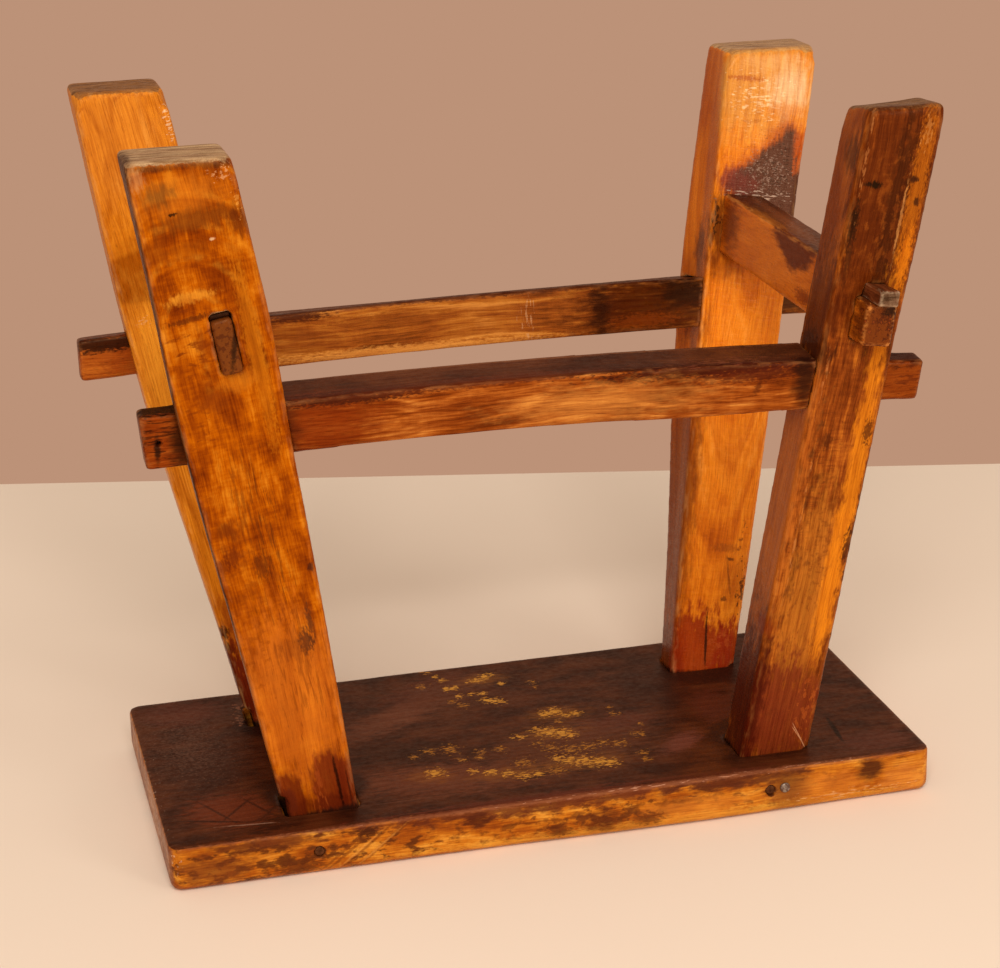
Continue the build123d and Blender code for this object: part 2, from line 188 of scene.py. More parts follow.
@dataclass(frozen=True)
class Grain:
    """The lie of the grain in a piece: two points on a line along it, in mm."""

    start: Point
    end: Point

    def turn(self) -> Euler:
        """Give the turn from the frame to the grain, whose third axis runs along the wood."""
        return Vector((0, 0, 1)).rotation_difference(self.along()).to_euler()

    def along(self) -> Vector:
        """Give the direction of the grain."""
        return (Vector(self.end) - Vector(self.start)).normalized()

    def inside(self, way: Vector) -> Vector:
        """Turn a direction of the frame into the grain's axes."""
        return self.turn().to_matrix().transposed() @ way

    def local(self, place: Vector) -> Vector:
        """Turn a place in the frame into the grain's axes."""
        return self.inside(place - Vector(self.start))


@dataclass(frozen=True)
class Stain:
    """A mark in or on the wood.

    It lies at two coordinates on a side. Its reach is its half width and half length, the second
    along the grain, and its turn is in that face, in degrees. Edge is the share of the reach over
    which it fades, and ragged is how far the fibres pull its edge about. A mark with a fleck size
    breaks up into flecks of that width and length in mm, fewer of them as sparse goes up and
    with blurred edges as soft does. A diamond mark has straight sides, and a sunk one lies over
    the worn arrises too.
    """

    side: Side
    at: Pair
    reach: Pair
    colour: str
    strength: float = 0.8
    edge: float = 0.3
    ragged: float = 0.9
    turn: float = 0.0
    depth: float = 6.0
    fleck: Pair | None = None
    sparse: float = 0.46
    soft: float = 0.05
    diamond: bool = False
    sunk: bool = False
    rough: float | None = None

    def frame(self, node: str, grain: Grain) -> tuple[Vector, Point, Point]:
        """Work out where the mark lies in the grain's axes.

        Args:
            node: the CAD node that it is on.
            grain: the lie of the grain there.

        Returns:
            The place, the turn in radians and the reach along each axis.
        """
        sight = grain.inside(Vector(self.side.value))
        deep = max(range(3), key=lambda axis: abs(sight[axis]))
        wide, long = (axis for axis in range(3) if axis != deep)
        turn = [0.0, 0.0, 0.0]
        turn[deep] = math.radians(self.turn)
        reach = [0.0, 0.0, 0.0]
        reach[deep], reach[wide], reach[long] = self.depth, self.reach[0], self.reach[1]
        return grain.local(touched(node, self.side, self.at)), tuple(turn), tuple(reach)


@dataclass(frozen=True)
class Spatter:
    """Flecks of one colour that lie in and about round dabs, each two coordinates and a reach."""

    side: Side
    dabs: tuple[Point, ...]
    colour: str
    strength: float = 0.9
    fleck: Pair = (1.7, 2.4)
    sparse: float = 0.38
    soft: float = 0.05


@dataclass(frozen=True)
class Coat:
    """The darker or duller colours of the faces that point one way, and how much of them shows.

    Low and high are how squarely a face points that way where the coat sets in and is whole.
    """

    way: Point
    deep: str
    light: str
    share: float = 0.8
    low: float = 0.5
    high: float = 0.8


@dataclass(frozen=True)
class Rings:
    """The growth rings: their step in mm, and the heart that they lie about.

    The heart is a place in the grain's axes. Rise and fall are how fast it leaves the face above
    and below that place, so that the rings cut the face in arches. Share is how dark the late
    wood is, and pale is how much the early wood shows its own pale colour.
    """

    step: float = 3.0
    heart: Point = (-40.0, 30.0, 0.0)
    rise: float = 0.05
    fall: float = 0.05
    share: float = 0.4
    colour: str = "A86A34"
    pale: float = 0.0
    pale_colour: str = "E89430"


@dataclass(frozen=True)
class Timber:
    """Old elm that was planed by hand, oiled and varnished, then handled for many years.

    The varnish gives a warm gloss and deep orange tones. Dirt in the pores gives dark fibres, and
    the worn arrises show pale. Cloud is the width of its patches of tone, and streak and fibre
    are widths and lengths. Relief and ripple give the bump of the fibres and the plane's marks.
    """

    name: str
    grain: Grain
    tones: tuple[str, str, str, str]
    rings: Rings = Rings()
    cloud: float = 26.0
    cloud_share: float = 1.0
    streak: Pair = (2.6, 70.0)
    streak_share: float = 0.3
    ring_tone: float = 0.45
    fibre: Pair = (0.6, 22.0)
    fibre_share: float = 0.4
    fibre_colour: str = "A86A34"
    pore_share: float = 0.35
    pore_colour: str = "6A3416"
    wander: float = 2.0
    coats: tuple[Coat, ...] = ()
    stains: tuple[Stain, ...] = ()
    spatters: tuple[Spatter, ...] = ()
    ends: tuple[str, str] | None = None
    arris: str = "E0A264"
    arris_share: float = 0.5
    grime: str = "2A0F06"
    rough: Pair = (0.26, 0.5)
    gloss: float = 0.13
    varnish: str = "FFCC99"
    relief: float = 0.12
    ripple: float = 0.5
    ripple_tone: float = 0.12

    def material(self, node: str) -> bpy.types.Material:
        """Make the timber for one node.

        Args:
            node: the CAD node that the marks are placed on.

        Returns:
            The material.
        """
        material = bpy.data.materials.new(self.name)
        material.use_nodes = True
        tree = material.node_tree
        shader = tree.nodes["Principled BSDF"]
        coords = add_node(tree, "ShaderNodeTexCoord")
        inputs = {0: coords.outputs["Object"], 1: (1 / MM,) * 3}
        size = add_node(tree, "ShaderNodeVectorMath", inputs, operation="MULTIPLY")
        inputs = {"Vector": size.outputs[0], "Location": self.grain.start, "Rotation": self.grain.turn()}
        lie = add_node(tree, "ShaderNodeMapping", inputs, vector_type="TEXTURE").outputs[0]
        wavy = self.wavy(tree, lie)
        cloud = self.drawn(tree, wavy, (self.cloud, self.cloud * CLOUD_LENGTH))
        streak = self.drawn(tree, wavy, self.streak)
        fibre = self.drawn(tree, wavy, self.fibre)
        rag = self.drawn(tree, lie, RAG, 4.0)
        nick = self.drawn(tree, lie, NICK)
        glaze = self.drawn(tree, lie, GLAZE)
        ripple = self.drawn(tree, lie, RIPPLE)
        sizes = sorted({stain.fleck for stain in self.stains if stain.fleck})
        flecks = {size: self.drawn(tree, lie, size) for size in sizes}
        ring, pale, uneven = self.ringed(tree, wavy)
        patterns = (
            (cloud, self.cloud_share),
            (streak, self.streak_share),
            (uneven, self.ring_tone),
            (fibre, FIBRE_TONE),
            (ripple, self.ripple_tone),
        )
        colour = self.toned(tree, patterns)
        inputs = {0: pale, 1: self.rings.pale}
        pale = add_node(tree, "ShaderNodeMath", inputs, operation="MULTIPLY", use_clamp=True).outputs[0]
        inputs = {0: pale, 6: colour, 7: linear(self.rings.pale_colour)}
        colour = add_node(tree, "ShaderNodeMix", inputs, data_type="RGBA").outputs[2]
        colour = self.coated(tree, coords.outputs["Normal"], colour, cloud, rag)
        if self.ends:
            colour = self.end_grained(tree, coords.outputs["Normal"], colour, lie, rag)
        inputs = {0: glaze, 1: 0.35, 2: 0.7, 3: self.rough[0], 4: self.rough[1]}
        rough = add_node(tree, "ShaderNodeMapRange", inputs).outputs[0]
        edges = {"flecks": flecks, "small": nick, "large": rag}
        for stain in (stain for stain in self.stains if not stain.sunk):
            colour, rough = self.stained(tree, lie, colour, rough, edges, stain, node)
        for spatter in self.spatters:
            colour = self.spattered(tree, lie, colour, spatter, node)
        colour = self.multiplied(tree, colour, self.rings.colour, ring, self.rings.share)
        dark_fibre = add_node(tree, "ShaderNodeMapRange", {0: fibre, 1: 0.58, 2: 0.36}).outputs[0]
        colour = self.multiplied(tree, colour, self.fibre_colour, dark_fibre, self.fibre_share)
        pore = self.drawn(tree, wavy, PORE, 1.0)
        pore = add_node(tree, "ShaderNodeMapRange", {0: pore, 1: 0.38, 2: 0.26}).outputs[0]
        colour = self.multiplied(tree, colour, self.pore_colour, pore, self.pore_share)
        colour = self.edged(tree, colour, self.drawn(tree, lie, WEAR))
        for stain in (stain for stain in self.stains if stain.sunk):
            colour, rough = self.stained(tree, lie, colour, rough, edges, stain, node)
        tree.links.new(colour, shader.inputs["Base Color"])
        tree.links.new(rough, shader.inputs["Roughness"])
        inputs = {0: fibre, 1: 0.5, 2: glaze}
        height = add_node(tree, "ShaderNodeMath", inputs, operation="MULTIPLY_ADD").outputs[0]
        inputs = {0: ripple, 1: self.ripple, 2: height}
        height = add_node(tree, "ShaderNodeMath", inputs, operation="MULTIPLY_ADD").outputs[0]
        inputs = {"Height": height, "Distance": self.relief * MM, "Strength": 0.8}
        bump = add_node(tree, "ShaderNodeBump", inputs)
        tree.links.new(bump.outputs[0], shader.inputs["Normal"])
        shader.inputs["Specular IOR Level"].default_value = self.gloss
        shader.inputs["Specular Tint"].default_value = linear(self.varnish)
        return material

    def wavy(self, tree: Tree, lie: Socket) -> Socket:
        """Let the grain wander off its straight line."""
        wide, long = BEND
        inputs = {"Vector": lie, "Scale": (1 / wide, 1 / wide, 1 / long)}
        bends = add_node(tree, "ShaderNodeMapping", inputs)
        inputs = {"Vector": bends.outputs[0], "Scale": 1.0, "Detail": 2.0}
        noise = add_node(tree, "ShaderNodeTexNoise", inputs)
        inputs = {0: noise.outputs["Color"], 1: (0.5,) * 3}
        middle = add_node(tree, "ShaderNodeVectorMath", inputs, operation="SUBTRACT")
        # The noise seldom leaves its middle third, so it is taken three times.
        inputs = {0: middle.outputs[0], 1: (self.wander * 3,) * 3, 2: lie}
        return add_node(tree, "ShaderNodeVectorMath", inputs, operation="MULTIPLY_ADD").outputs[0]

    def drawn(self, tree: Tree, lie: Socket, size: Pair, detail: float = 3.0) -> Socket:
        """Draw a pattern out along the grain.

        Args:
            tree: the material's node tree.
            lie: the place in the grain's axes, in mm.
            size: the width and the length of the pattern's parts, in mm.
            detail: how many finer patterns it holds.

        Returns:
            The pattern, about a half in the middle.
        """
        shares = (1 / size[0], 1 / size[0], 1 / size[1])
        scaled = add_node(tree, "ShaderNodeMapping", {"Vector": lie, "Scale": shares})
        inputs = {"Vector": scaled.outputs[0], "Scale": 1.0, "Detail": detail, "Roughness": 0.58}
        return add_node(tree, "ShaderNodeTexNoise", inputs).outputs["Fac"]

    def ringed(self, tree: Tree, wavy: Socket) -> tuple[Socket, Socket, Socket]:
        """Cut the growth rings, each of which darkens slowly and ends sharply.

        Args:
            tree: the material's node tree.
            wavy: the place in the wandering grain's axes, in mm.

        Returns:
            How dark the ring is and how pale its early wood is, from none to one, and an uneven
            tone that follows the rings.
        """
        rings = self.rings
        apart = add_node(tree, "ShaderNodeSeparateXYZ", {0: wavy})
        inputs = {0: apart.outputs[2], 1: rings.heart[2]}
        up = add_node(tree, "ShaderNodeMath", inputs, operation="SUBTRACT").outputs[0]
        above = add_node(tree, "ShaderNodeMath", {0: up, 1: 0.0}, operation="MAXIMUM").outputs[0]
        below = add_node(tree, "ShaderNodeMath", {0: up, 1: 0.0}, operation="MINIMUM").outputs[0]
        inputs = {0: above, 1: rings.rise, 2: apart.outputs[1]}
        deep = add_node(tree, "ShaderNodeMath", inputs, operation="MULTIPLY_ADD").outputs[0]
        inputs = {0: below, 1: -rings.fall, 2: deep}
        deep = add_node(tree, "ShaderNodeMath", inputs, operation="MULTIPLY_ADD").outputs[0]
        across = add_node(tree, "ShaderNodeCombineXYZ", {0: apart.outputs[0], 1: deep})
        inputs = {0: across.outputs[0], 1: (rings.heart[0], rings.heart[1], 0.0)}
        out = add_node(tree, "ShaderNodeVectorMath", inputs, operation="DISTANCE").outputs["Value"]
        count = add_node(tree, "ShaderNodeMath", {0: out, 1: rings.step}, operation="DIVIDE").outputs[0]
        share = add_node(tree, "ShaderNodeMath", {0: count}, operation="FRACT").outputs[0]
        late = add_node(tree, "ShaderNodeValToRGB", {0: share})
        late.color_ramp.interpolation = "EASE"
        late.color_ramp.elements[0].color = (0.25, 0.25, 0.25, 1)
        late.color_ramp.elements[1].color = (0.2, 0.2, 0.2, 1)
        for place, value in ((EARLY_WOOD, 0.0), (0.6, 0.45), (LATE_WOOD, 1.0)):
            late.color_ramp.elements.new(place).color = (value, value, value, 1)
        inputs = {"W": count, "Scale": 1.7, "Detail": 4.0, "Roughness": 0.65}
        uneven = add_node(tree, "ShaderNodeTexNoise", inputs, noise_dimensions="1D")
        early = add_node(tree, "ShaderNodeMath", {0: share, 1: EARLY_WOOD}, operation="SUBTRACT").outputs[0]
        early = add_node(tree, "ShaderNodeMath", {0: early}, operation="ABSOLUTE").outputs[0]
        inputs = {0: early, 1: EARLY_REACH, 2: 0.0}
        early = add_node(tree, "ShaderNodeMapRange", inputs, interpolation_type="SMOOTHSTEP").outputs[0]
        height = add_node(tree, "ShaderNodeMapRange", {0: up, 1: PALE_LOW, 2: PALE_HIGH}).outputs[0]
        early = add_node(tree, "ShaderNodeMath", {0: early, 1: height}, operation="MULTIPLY").outputs[0]
        patch = self.drawn(tree, wavy, BROKEN)
        patch = add_node(tree, "ShaderNodeMapRange", {0: patch, 1: 0.4, 2: 0.62}).outputs[0]
        early = add_node(tree, "ShaderNodeMath", {0: early, 1: patch}, operation="MULTIPLY").outputs[0]
        return late.outputs[0], early, uneven.outputs["Fac"]

    def toned(self, tree: Tree, patterns: tuple[tuple[Socket, float], ...]) -> Socket:
        """Colour the plain wood by its clouds, streaks, rings and fibres, each by its share."""
        middle = add_node(tree, "ShaderNodeValue").outputs[0]
        middle.default_value = 0.5
        tone = middle
        for pattern, share in patterns:
            off = add_node(tree, "ShaderNodeMath", {0: pattern, 1: middle}, operation="SUBTRACT").outputs[0]
            inputs = {0: off, 1: share, 2: tone}
            tone = add_node(tree, "ShaderNodeMath", inputs, operation="MULTIPLY_ADD").outputs[0]
        ramp = add_node(tree, "ShaderNodeValToRGB", {0: tone})
        stops = ramp.color_ramp.elements
        stops[0].position, stops[1].position = TONE_STOPS[0], TONE_STOPS[3]
        stops[0].color, stops[1].color = linear(self.tones[0]), linear(self.tones[3])
        for place, tone_hex in zip(TONE_STOPS[1:3], self.tones[1:3]):
            stops.new(place).color = linear(tone_hex)
        return ramp.outputs[0]

    def coated(self, tree: Tree, normal: Socket, colour: Socket, cloud: Socket, rag: Socket) -> Socket:
        """Lay each coat on the faces that point its way.

        Args:
            tree: the material's node tree.
            normal: the way that the surface faces.
            colour: the colour below the coats.
            cloud: the pattern that each coat is dark and light by.
            rag: the pattern that pulls a coat's edge about.

        Returns:
            The new colour.
        """
        pull = 0.5
        for coat in self.coats:
            inputs = {0: normal, 1: coat.way}
            facing = add_node(tree, "ShaderNodeVectorMath", inputs, operation="DOT_PRODUCT").outputs["Value"]
            inputs = {0: rag, 1: pull, 2: facing}
            edge = add_node(tree, "ShaderNodeMath", inputs, operation="MULTIPLY_ADD").outputs[0]
            inputs = {0: edge, 1: coat.low + pull / 2, 2: coat.high + pull / 2, 4: coat.share}
            cover = add_node(tree, "ShaderNodeMapRange", inputs).outputs[0]
            patch = add_node(tree, "ShaderNodeMapRange", {0: cloud, 1: 0.38, 2: 0.64}).outputs[0]
            inputs = {0: patch, 6: linear(coat.deep), 7: linear(coat.light)}
            inner = add_node(tree, "ShaderNodeMix", inputs, data_type="RGBA").outputs[2]
            inputs = {0: cover, 6: colour, 7: inner}
            colour = add_node(tree, "ShaderNodeMix", inputs, data_type="RGBA").outputs[2]
        return colour

    def end_grained(self, tree: Tree, normal: Socket, colour: Socket, lie: Socket, rag: Socket) -> Socket:
        """Show bare end grain, rough and greyed, where the fibres are cut across.

        Args:
            tree: the material's node tree.
            normal: the way that the surface faces.
            colour: the colour of the sides.
            lie: the place in the grain's axes, in mm.
            rag: the pattern that pulls the edge of the bare wood about.

        Returns:
            The new colour.
        """
        inputs = {0: normal, 1: tuple(self.grain.along())}
        facing = add_node(tree, "ShaderNodeVectorMath", inputs, operation="DOT_PRODUCT").outputs["Value"]
        facing = add_node(tree, "ShaderNodeMath", {0: facing}, operation="ABSOLUTE").outputs[0]
        inputs = {0: rag, 1: 0.9, 2: facing}
        facing = add_node(tree, "ShaderNodeMath", inputs, operation="MULTIPLY_ADD").outputs[0]
        cover = add_node(tree, "ShaderNodeMapRange", {0: facing, 1: 0.95, 2: 1.1}).outputs[0]
        long, narrow = END_BANDS
        inputs = {"Vector": lie, "Scale": (1 / long, 1 / narrow, 1 / long)}
        scaled = add_node(tree, "ShaderNodeMapping", inputs)
        inputs = {"Vector": scaled.outputs[0], "Scale": 1.0, "Detail": 5.0, "Roughness": 0.65}
        noise = add_node(tree, "ShaderNodeTexNoise", inputs)
        patch = add_node(tree, "ShaderNodeMapRange", {0: noise.outputs["Fac"], 1: 0.36, 2: 0.62}).outputs[0]
        inputs = {0: patch, 6: linear(self.ends[0]), 7: linear(self.ends[1])}
        inner = add_node(tree, "ShaderNodeMix", inputs, data_type="RGBA").outputs[2]
        inputs = {0: cover, 6: colour, 7: inner}
        return add_node(tree, "ShaderNodeMix", inputs, data_type="RGBA").outputs[2]

    def stained(
        self,
        tree: Tree,
        lie: Socket,
        colour: Socket,
        rough: Socket,
        edges: dict,
        stain: Stain,
        node: str,
    ) -> tuple[Socket, Socket]:
        """Lay one mark over the wood, and give its own roughness.

        Args:
            tree: the material's node tree.
            lie: the place in the grain's axes, in mm.
            colour: the colour below it.
            rough: the roughness below it.
            edges: the patterns that pull a mark's edge about, or break it up.
            stain: the mark.
            node: the CAD node that it is on.

        Returns:
            The new colour and roughness.
        """
        place, turn, reach = stain.frame(node, self.grain)
        inputs = {"Vector": lie, "Location": place, "Rotation": turn, "Scale": reach}
        share = add_node(tree, "ShaderNodeMapping", inputs, vector_type="TEXTURE").outputs[0]
        if stain.diamond:
            share = add_node(tree, "ShaderNodeVectorMath", {0: share}, operation="ABSOLUTE").outputs[0]
            inputs = {0: share, 1: (1.0,) * 3}
            out = add_node(tree, "ShaderNodeVectorMath", inputs, operation="DOT_PRODUCT").outputs["Value"]
        else:
            out = add_node(tree, "ShaderNodeVectorMath", {0: share}, operation="LENGTH").outputs["Value"]
        if stain.fleck:
            inputs = {0: out, 1: -FLECK_FADE, 2: edges["flecks"][stain.fleck]}
            low, high = stain.sparse, stain.sparse + stain.soft
        else:
            pattern = edges["small" if min(stain.reach) < SMALL_MARK else "large"]
            inputs = {0: pattern, 1: -2 * stain.ragged, 2: out}
            low, high = 1 + stain.edge - stain.ragged, 1 - stain.edge - stain.ragged
        out = add_node(tree, "ShaderNodeMath", inputs, operation="MULTIPLY_ADD").outputs[0]
        inputs = {0: out, 1: low, 2: high, 4: stain.strength}
        cover = add_node(tree, "ShaderNodeMapRange", inputs, interpolation_type="SMOOTHSTEP").outputs[0]
        inputs = {0: cover, 6: colour, 7: linear(stain.colour)}
        colour = add_node(tree, "ShaderNodeMix", inputs, data_type="RGBA").outputs[2]
        if stain.rough is not None:
            rough = add_node(tree, "ShaderNodeMix", {0: cover, 2: rough, 3: stain.rough}).outputs[0]
        return colour, rough

    def spattered(self, tree: Tree, lie: Socket, colour: Socket, spatter: Spatter, node: str) -> Socket:
        """Lay one lot of flecks over the wood.

        Args:
            tree: the material's node tree.
            lie: the place in the grain's axes, in mm.
            colour: the colour below them.
            spatter: the flecks.
            node: the CAD node that they are on.

        Returns:
            The new colour.
        """
        near = None
        for across, along, reach in spatter.dabs:
            place = self.grain.local(touched(node, spatter.side, (across, along)))
            inputs = {0: lie, 1: place}
            out = add_node(tree, "ShaderNodeVectorMath", inputs, operation="DISTANCE").outputs["Value"]
            out = add_node(tree, "ShaderNodeMath", {0: out, 1: reach}, operation="DIVIDE").outputs[0]
            if near is not None:
                out = add_node(tree, "ShaderNodeMath", {0: near, 1: out}, operation="MINIMUM").outputs[0]
            near = out
        pattern = self.drawn(tree, lie, spatter.fleck, 4.0)
        inputs = {0: near, 1: -FLECK_FADE, 2: pattern}
        out = add_node(tree, "ShaderNodeMath", inputs, operation="MULTIPLY_ADD").outputs[0]
        inputs = {0: out, 1: spatter.sparse, 2: spatter.sparse + spatter.soft, 4: spatter.strength}
        cover = add_node(tree, "ShaderNodeMapRange", inputs, interpolation_type="SMOOTHSTEP").outputs[0]
        inputs = {0: cover, 6: colour, 7: linear(spatter.colour)}
        return add_node(tree, "ShaderNodeMix", inputs, data_type="RGBA").outputs[2]

    def multiplied(self, tree: Tree, colour: Socket, hex_code: str, pattern: Socket, share: float) -> Socket:
        """Darken the colour by another one where a pattern is strong."""
        inputs = {0: pattern, 1: share}
        factor = add_node(tree, "ShaderNodeMath", inputs, operation="MULTIPLY", use_clamp=True).outputs[0]
        inputs = {0: factor, 6: colour, 7: linear(hex_code)}
        return add_node(tree, "ShaderNodeMix", inputs, data_type="RGBA", blend_type="MULTIPLY").outputs[2]

    def edged(self, tree: Tree, colour: Socket, patch: Socket) -> Socket:
        """Wear the arrises pale in places, and leave dirt in the corners."""
        arris = add_node(tree, "ShaderNodeAttribute", attribute_name="arris").outputs["Fac"]
        worn = add_node(tree, "ShaderNodeMapRange", {0: patch, 1: 0.44, 2: 0.62}).outputs[0]
        inputs = {0: arris, 1: 0.35, 2: 0.9, 4: self.arris_share}
        proud = add_node(tree, "ShaderNodeMapRange", inputs).outputs[0]
        factor = add_node(tree, "ShaderNodeMath", {0: worn, 1: proud}, operation="MULTIPLY").outputs[0]
        inputs = {0: factor, 6: colour, 7: linear(self.arris)}
        colour = add_node(tree, "ShaderNodeMix", inputs, data_type="RGBA").outputs[2]
        low = add_node(tree, "ShaderNodeMapRange", {0: arris, 1: -0.25, 2: -0.9, 4: 0.85}).outputs[0]
        inputs = {0: low, 6: colour, 7: linear(self.grime)}
        return add_node(tree, "ShaderNodeMix", inputs, data_type="RGBA").outputs[2]


@dataclass(frozen=True)
class Iron:
    """Wrought iron, forged by hand and dulled by age, with brown rust in the pits."""

    name: str = "wrought_iron"
    bright: str = "9A8A7A"
    rust: str = "5A3A28"
    pit: float = 1.1
    relief: float = 0.2

    def material(self, node: str) -> bpy.types.Material:
        """Make the iron.

        Args:
            node: the CAD node, on which the iron places no marks.

        Returns:
            The material.
        """
        material = bpy.data.materials.new(self.name)
        material.use_nodes = True
        tree = material.node_tree
        shader = tree.nodes["Principled BSDF"]
        coords = add_node(tree, "ShaderNodeTexCoord").outputs["Object"]
        inputs = {"Vector": coords, "Scale": 1 / (self.pit * MM), "Detail": 3.0}
        noise = add_node(tree, "ShaderNodeTexNoise", inputs).outputs["Fac"]
        rusty = add_node(tree, "ShaderNodeMapRange", {0: noise, 1: 0.36, 2: 0.54}).outputs[0]
        inputs = {0: rusty, 6: linear(self.bright), 7: linear(self.rust)}
        colour = add_node(tree, "ShaderNodeMix", inputs, data_type="RGBA").outputs[2]
        metal = add_node(tree, "ShaderNodeMapRange", {0: rusty, 3: 0.8, 4: 0.2}).outputs[0]
        rough = add_node(tree, "ShaderNodeMapRange", {0: rusty, 3: 0.45, 4: 0.75}).outputs[0]
        inputs = {"Height": noise, "Distance": self.relief * MM, "Strength": 0.8}
        bump = add_node(tree, "ShaderNodeBump", inputs).outputs[0]
        for name, socket in (
            ("Base Color", colour),
            ("Metallic", metal),
            ("Roughness", rough),
            ("Normal", bump),
        ):
            tree.links.new(socket, shader.inputs[name])
        return material


@dataclass(frozen=True)
class Dent:
    """A spot where the wood was knocked or worn: its place, its reach and the push, in mm."""

    place: Point
    reach: float
    push: Point


@dataclass(frozen=True)
class Swell:
    """A stretch of a leg or rail that stands out from the straight one, as hand work does.

    It is fullest at a middle, in mm along the grain from its start, and dies out at half the
    stretch to each side. The push is in mm. Each ramp is a direction across the piece, and how
    far out from the grain's line the push sets in and is whole.
    """

    push: Point
    middle: float
    half: float
    ramps: tuple[tuple[Point, float, float], ...]

    def weights(self, places: np.ndarray, grain: Grain) -> np.ndarray:
        """Work out how much of the push each point takes.

        Args:
            places: the points in mm, one to a row.
            grain: the lie of the grain.

        Returns:
            The shares, from none to one.
        """
        along = np.array(grain.along())
        off = places - np.array(grain.start)
        run = off @ along
        share = np.cos(np.clip((run - self.middle) / self.half, -1, 1) * math.pi / 2) ** 2
        across = off - run[:, None] * along
        for way, low, high in self.ramps:
            share *= np.clip((across @ np.array(way) - low) / (high - low), 0, 1)
        return share


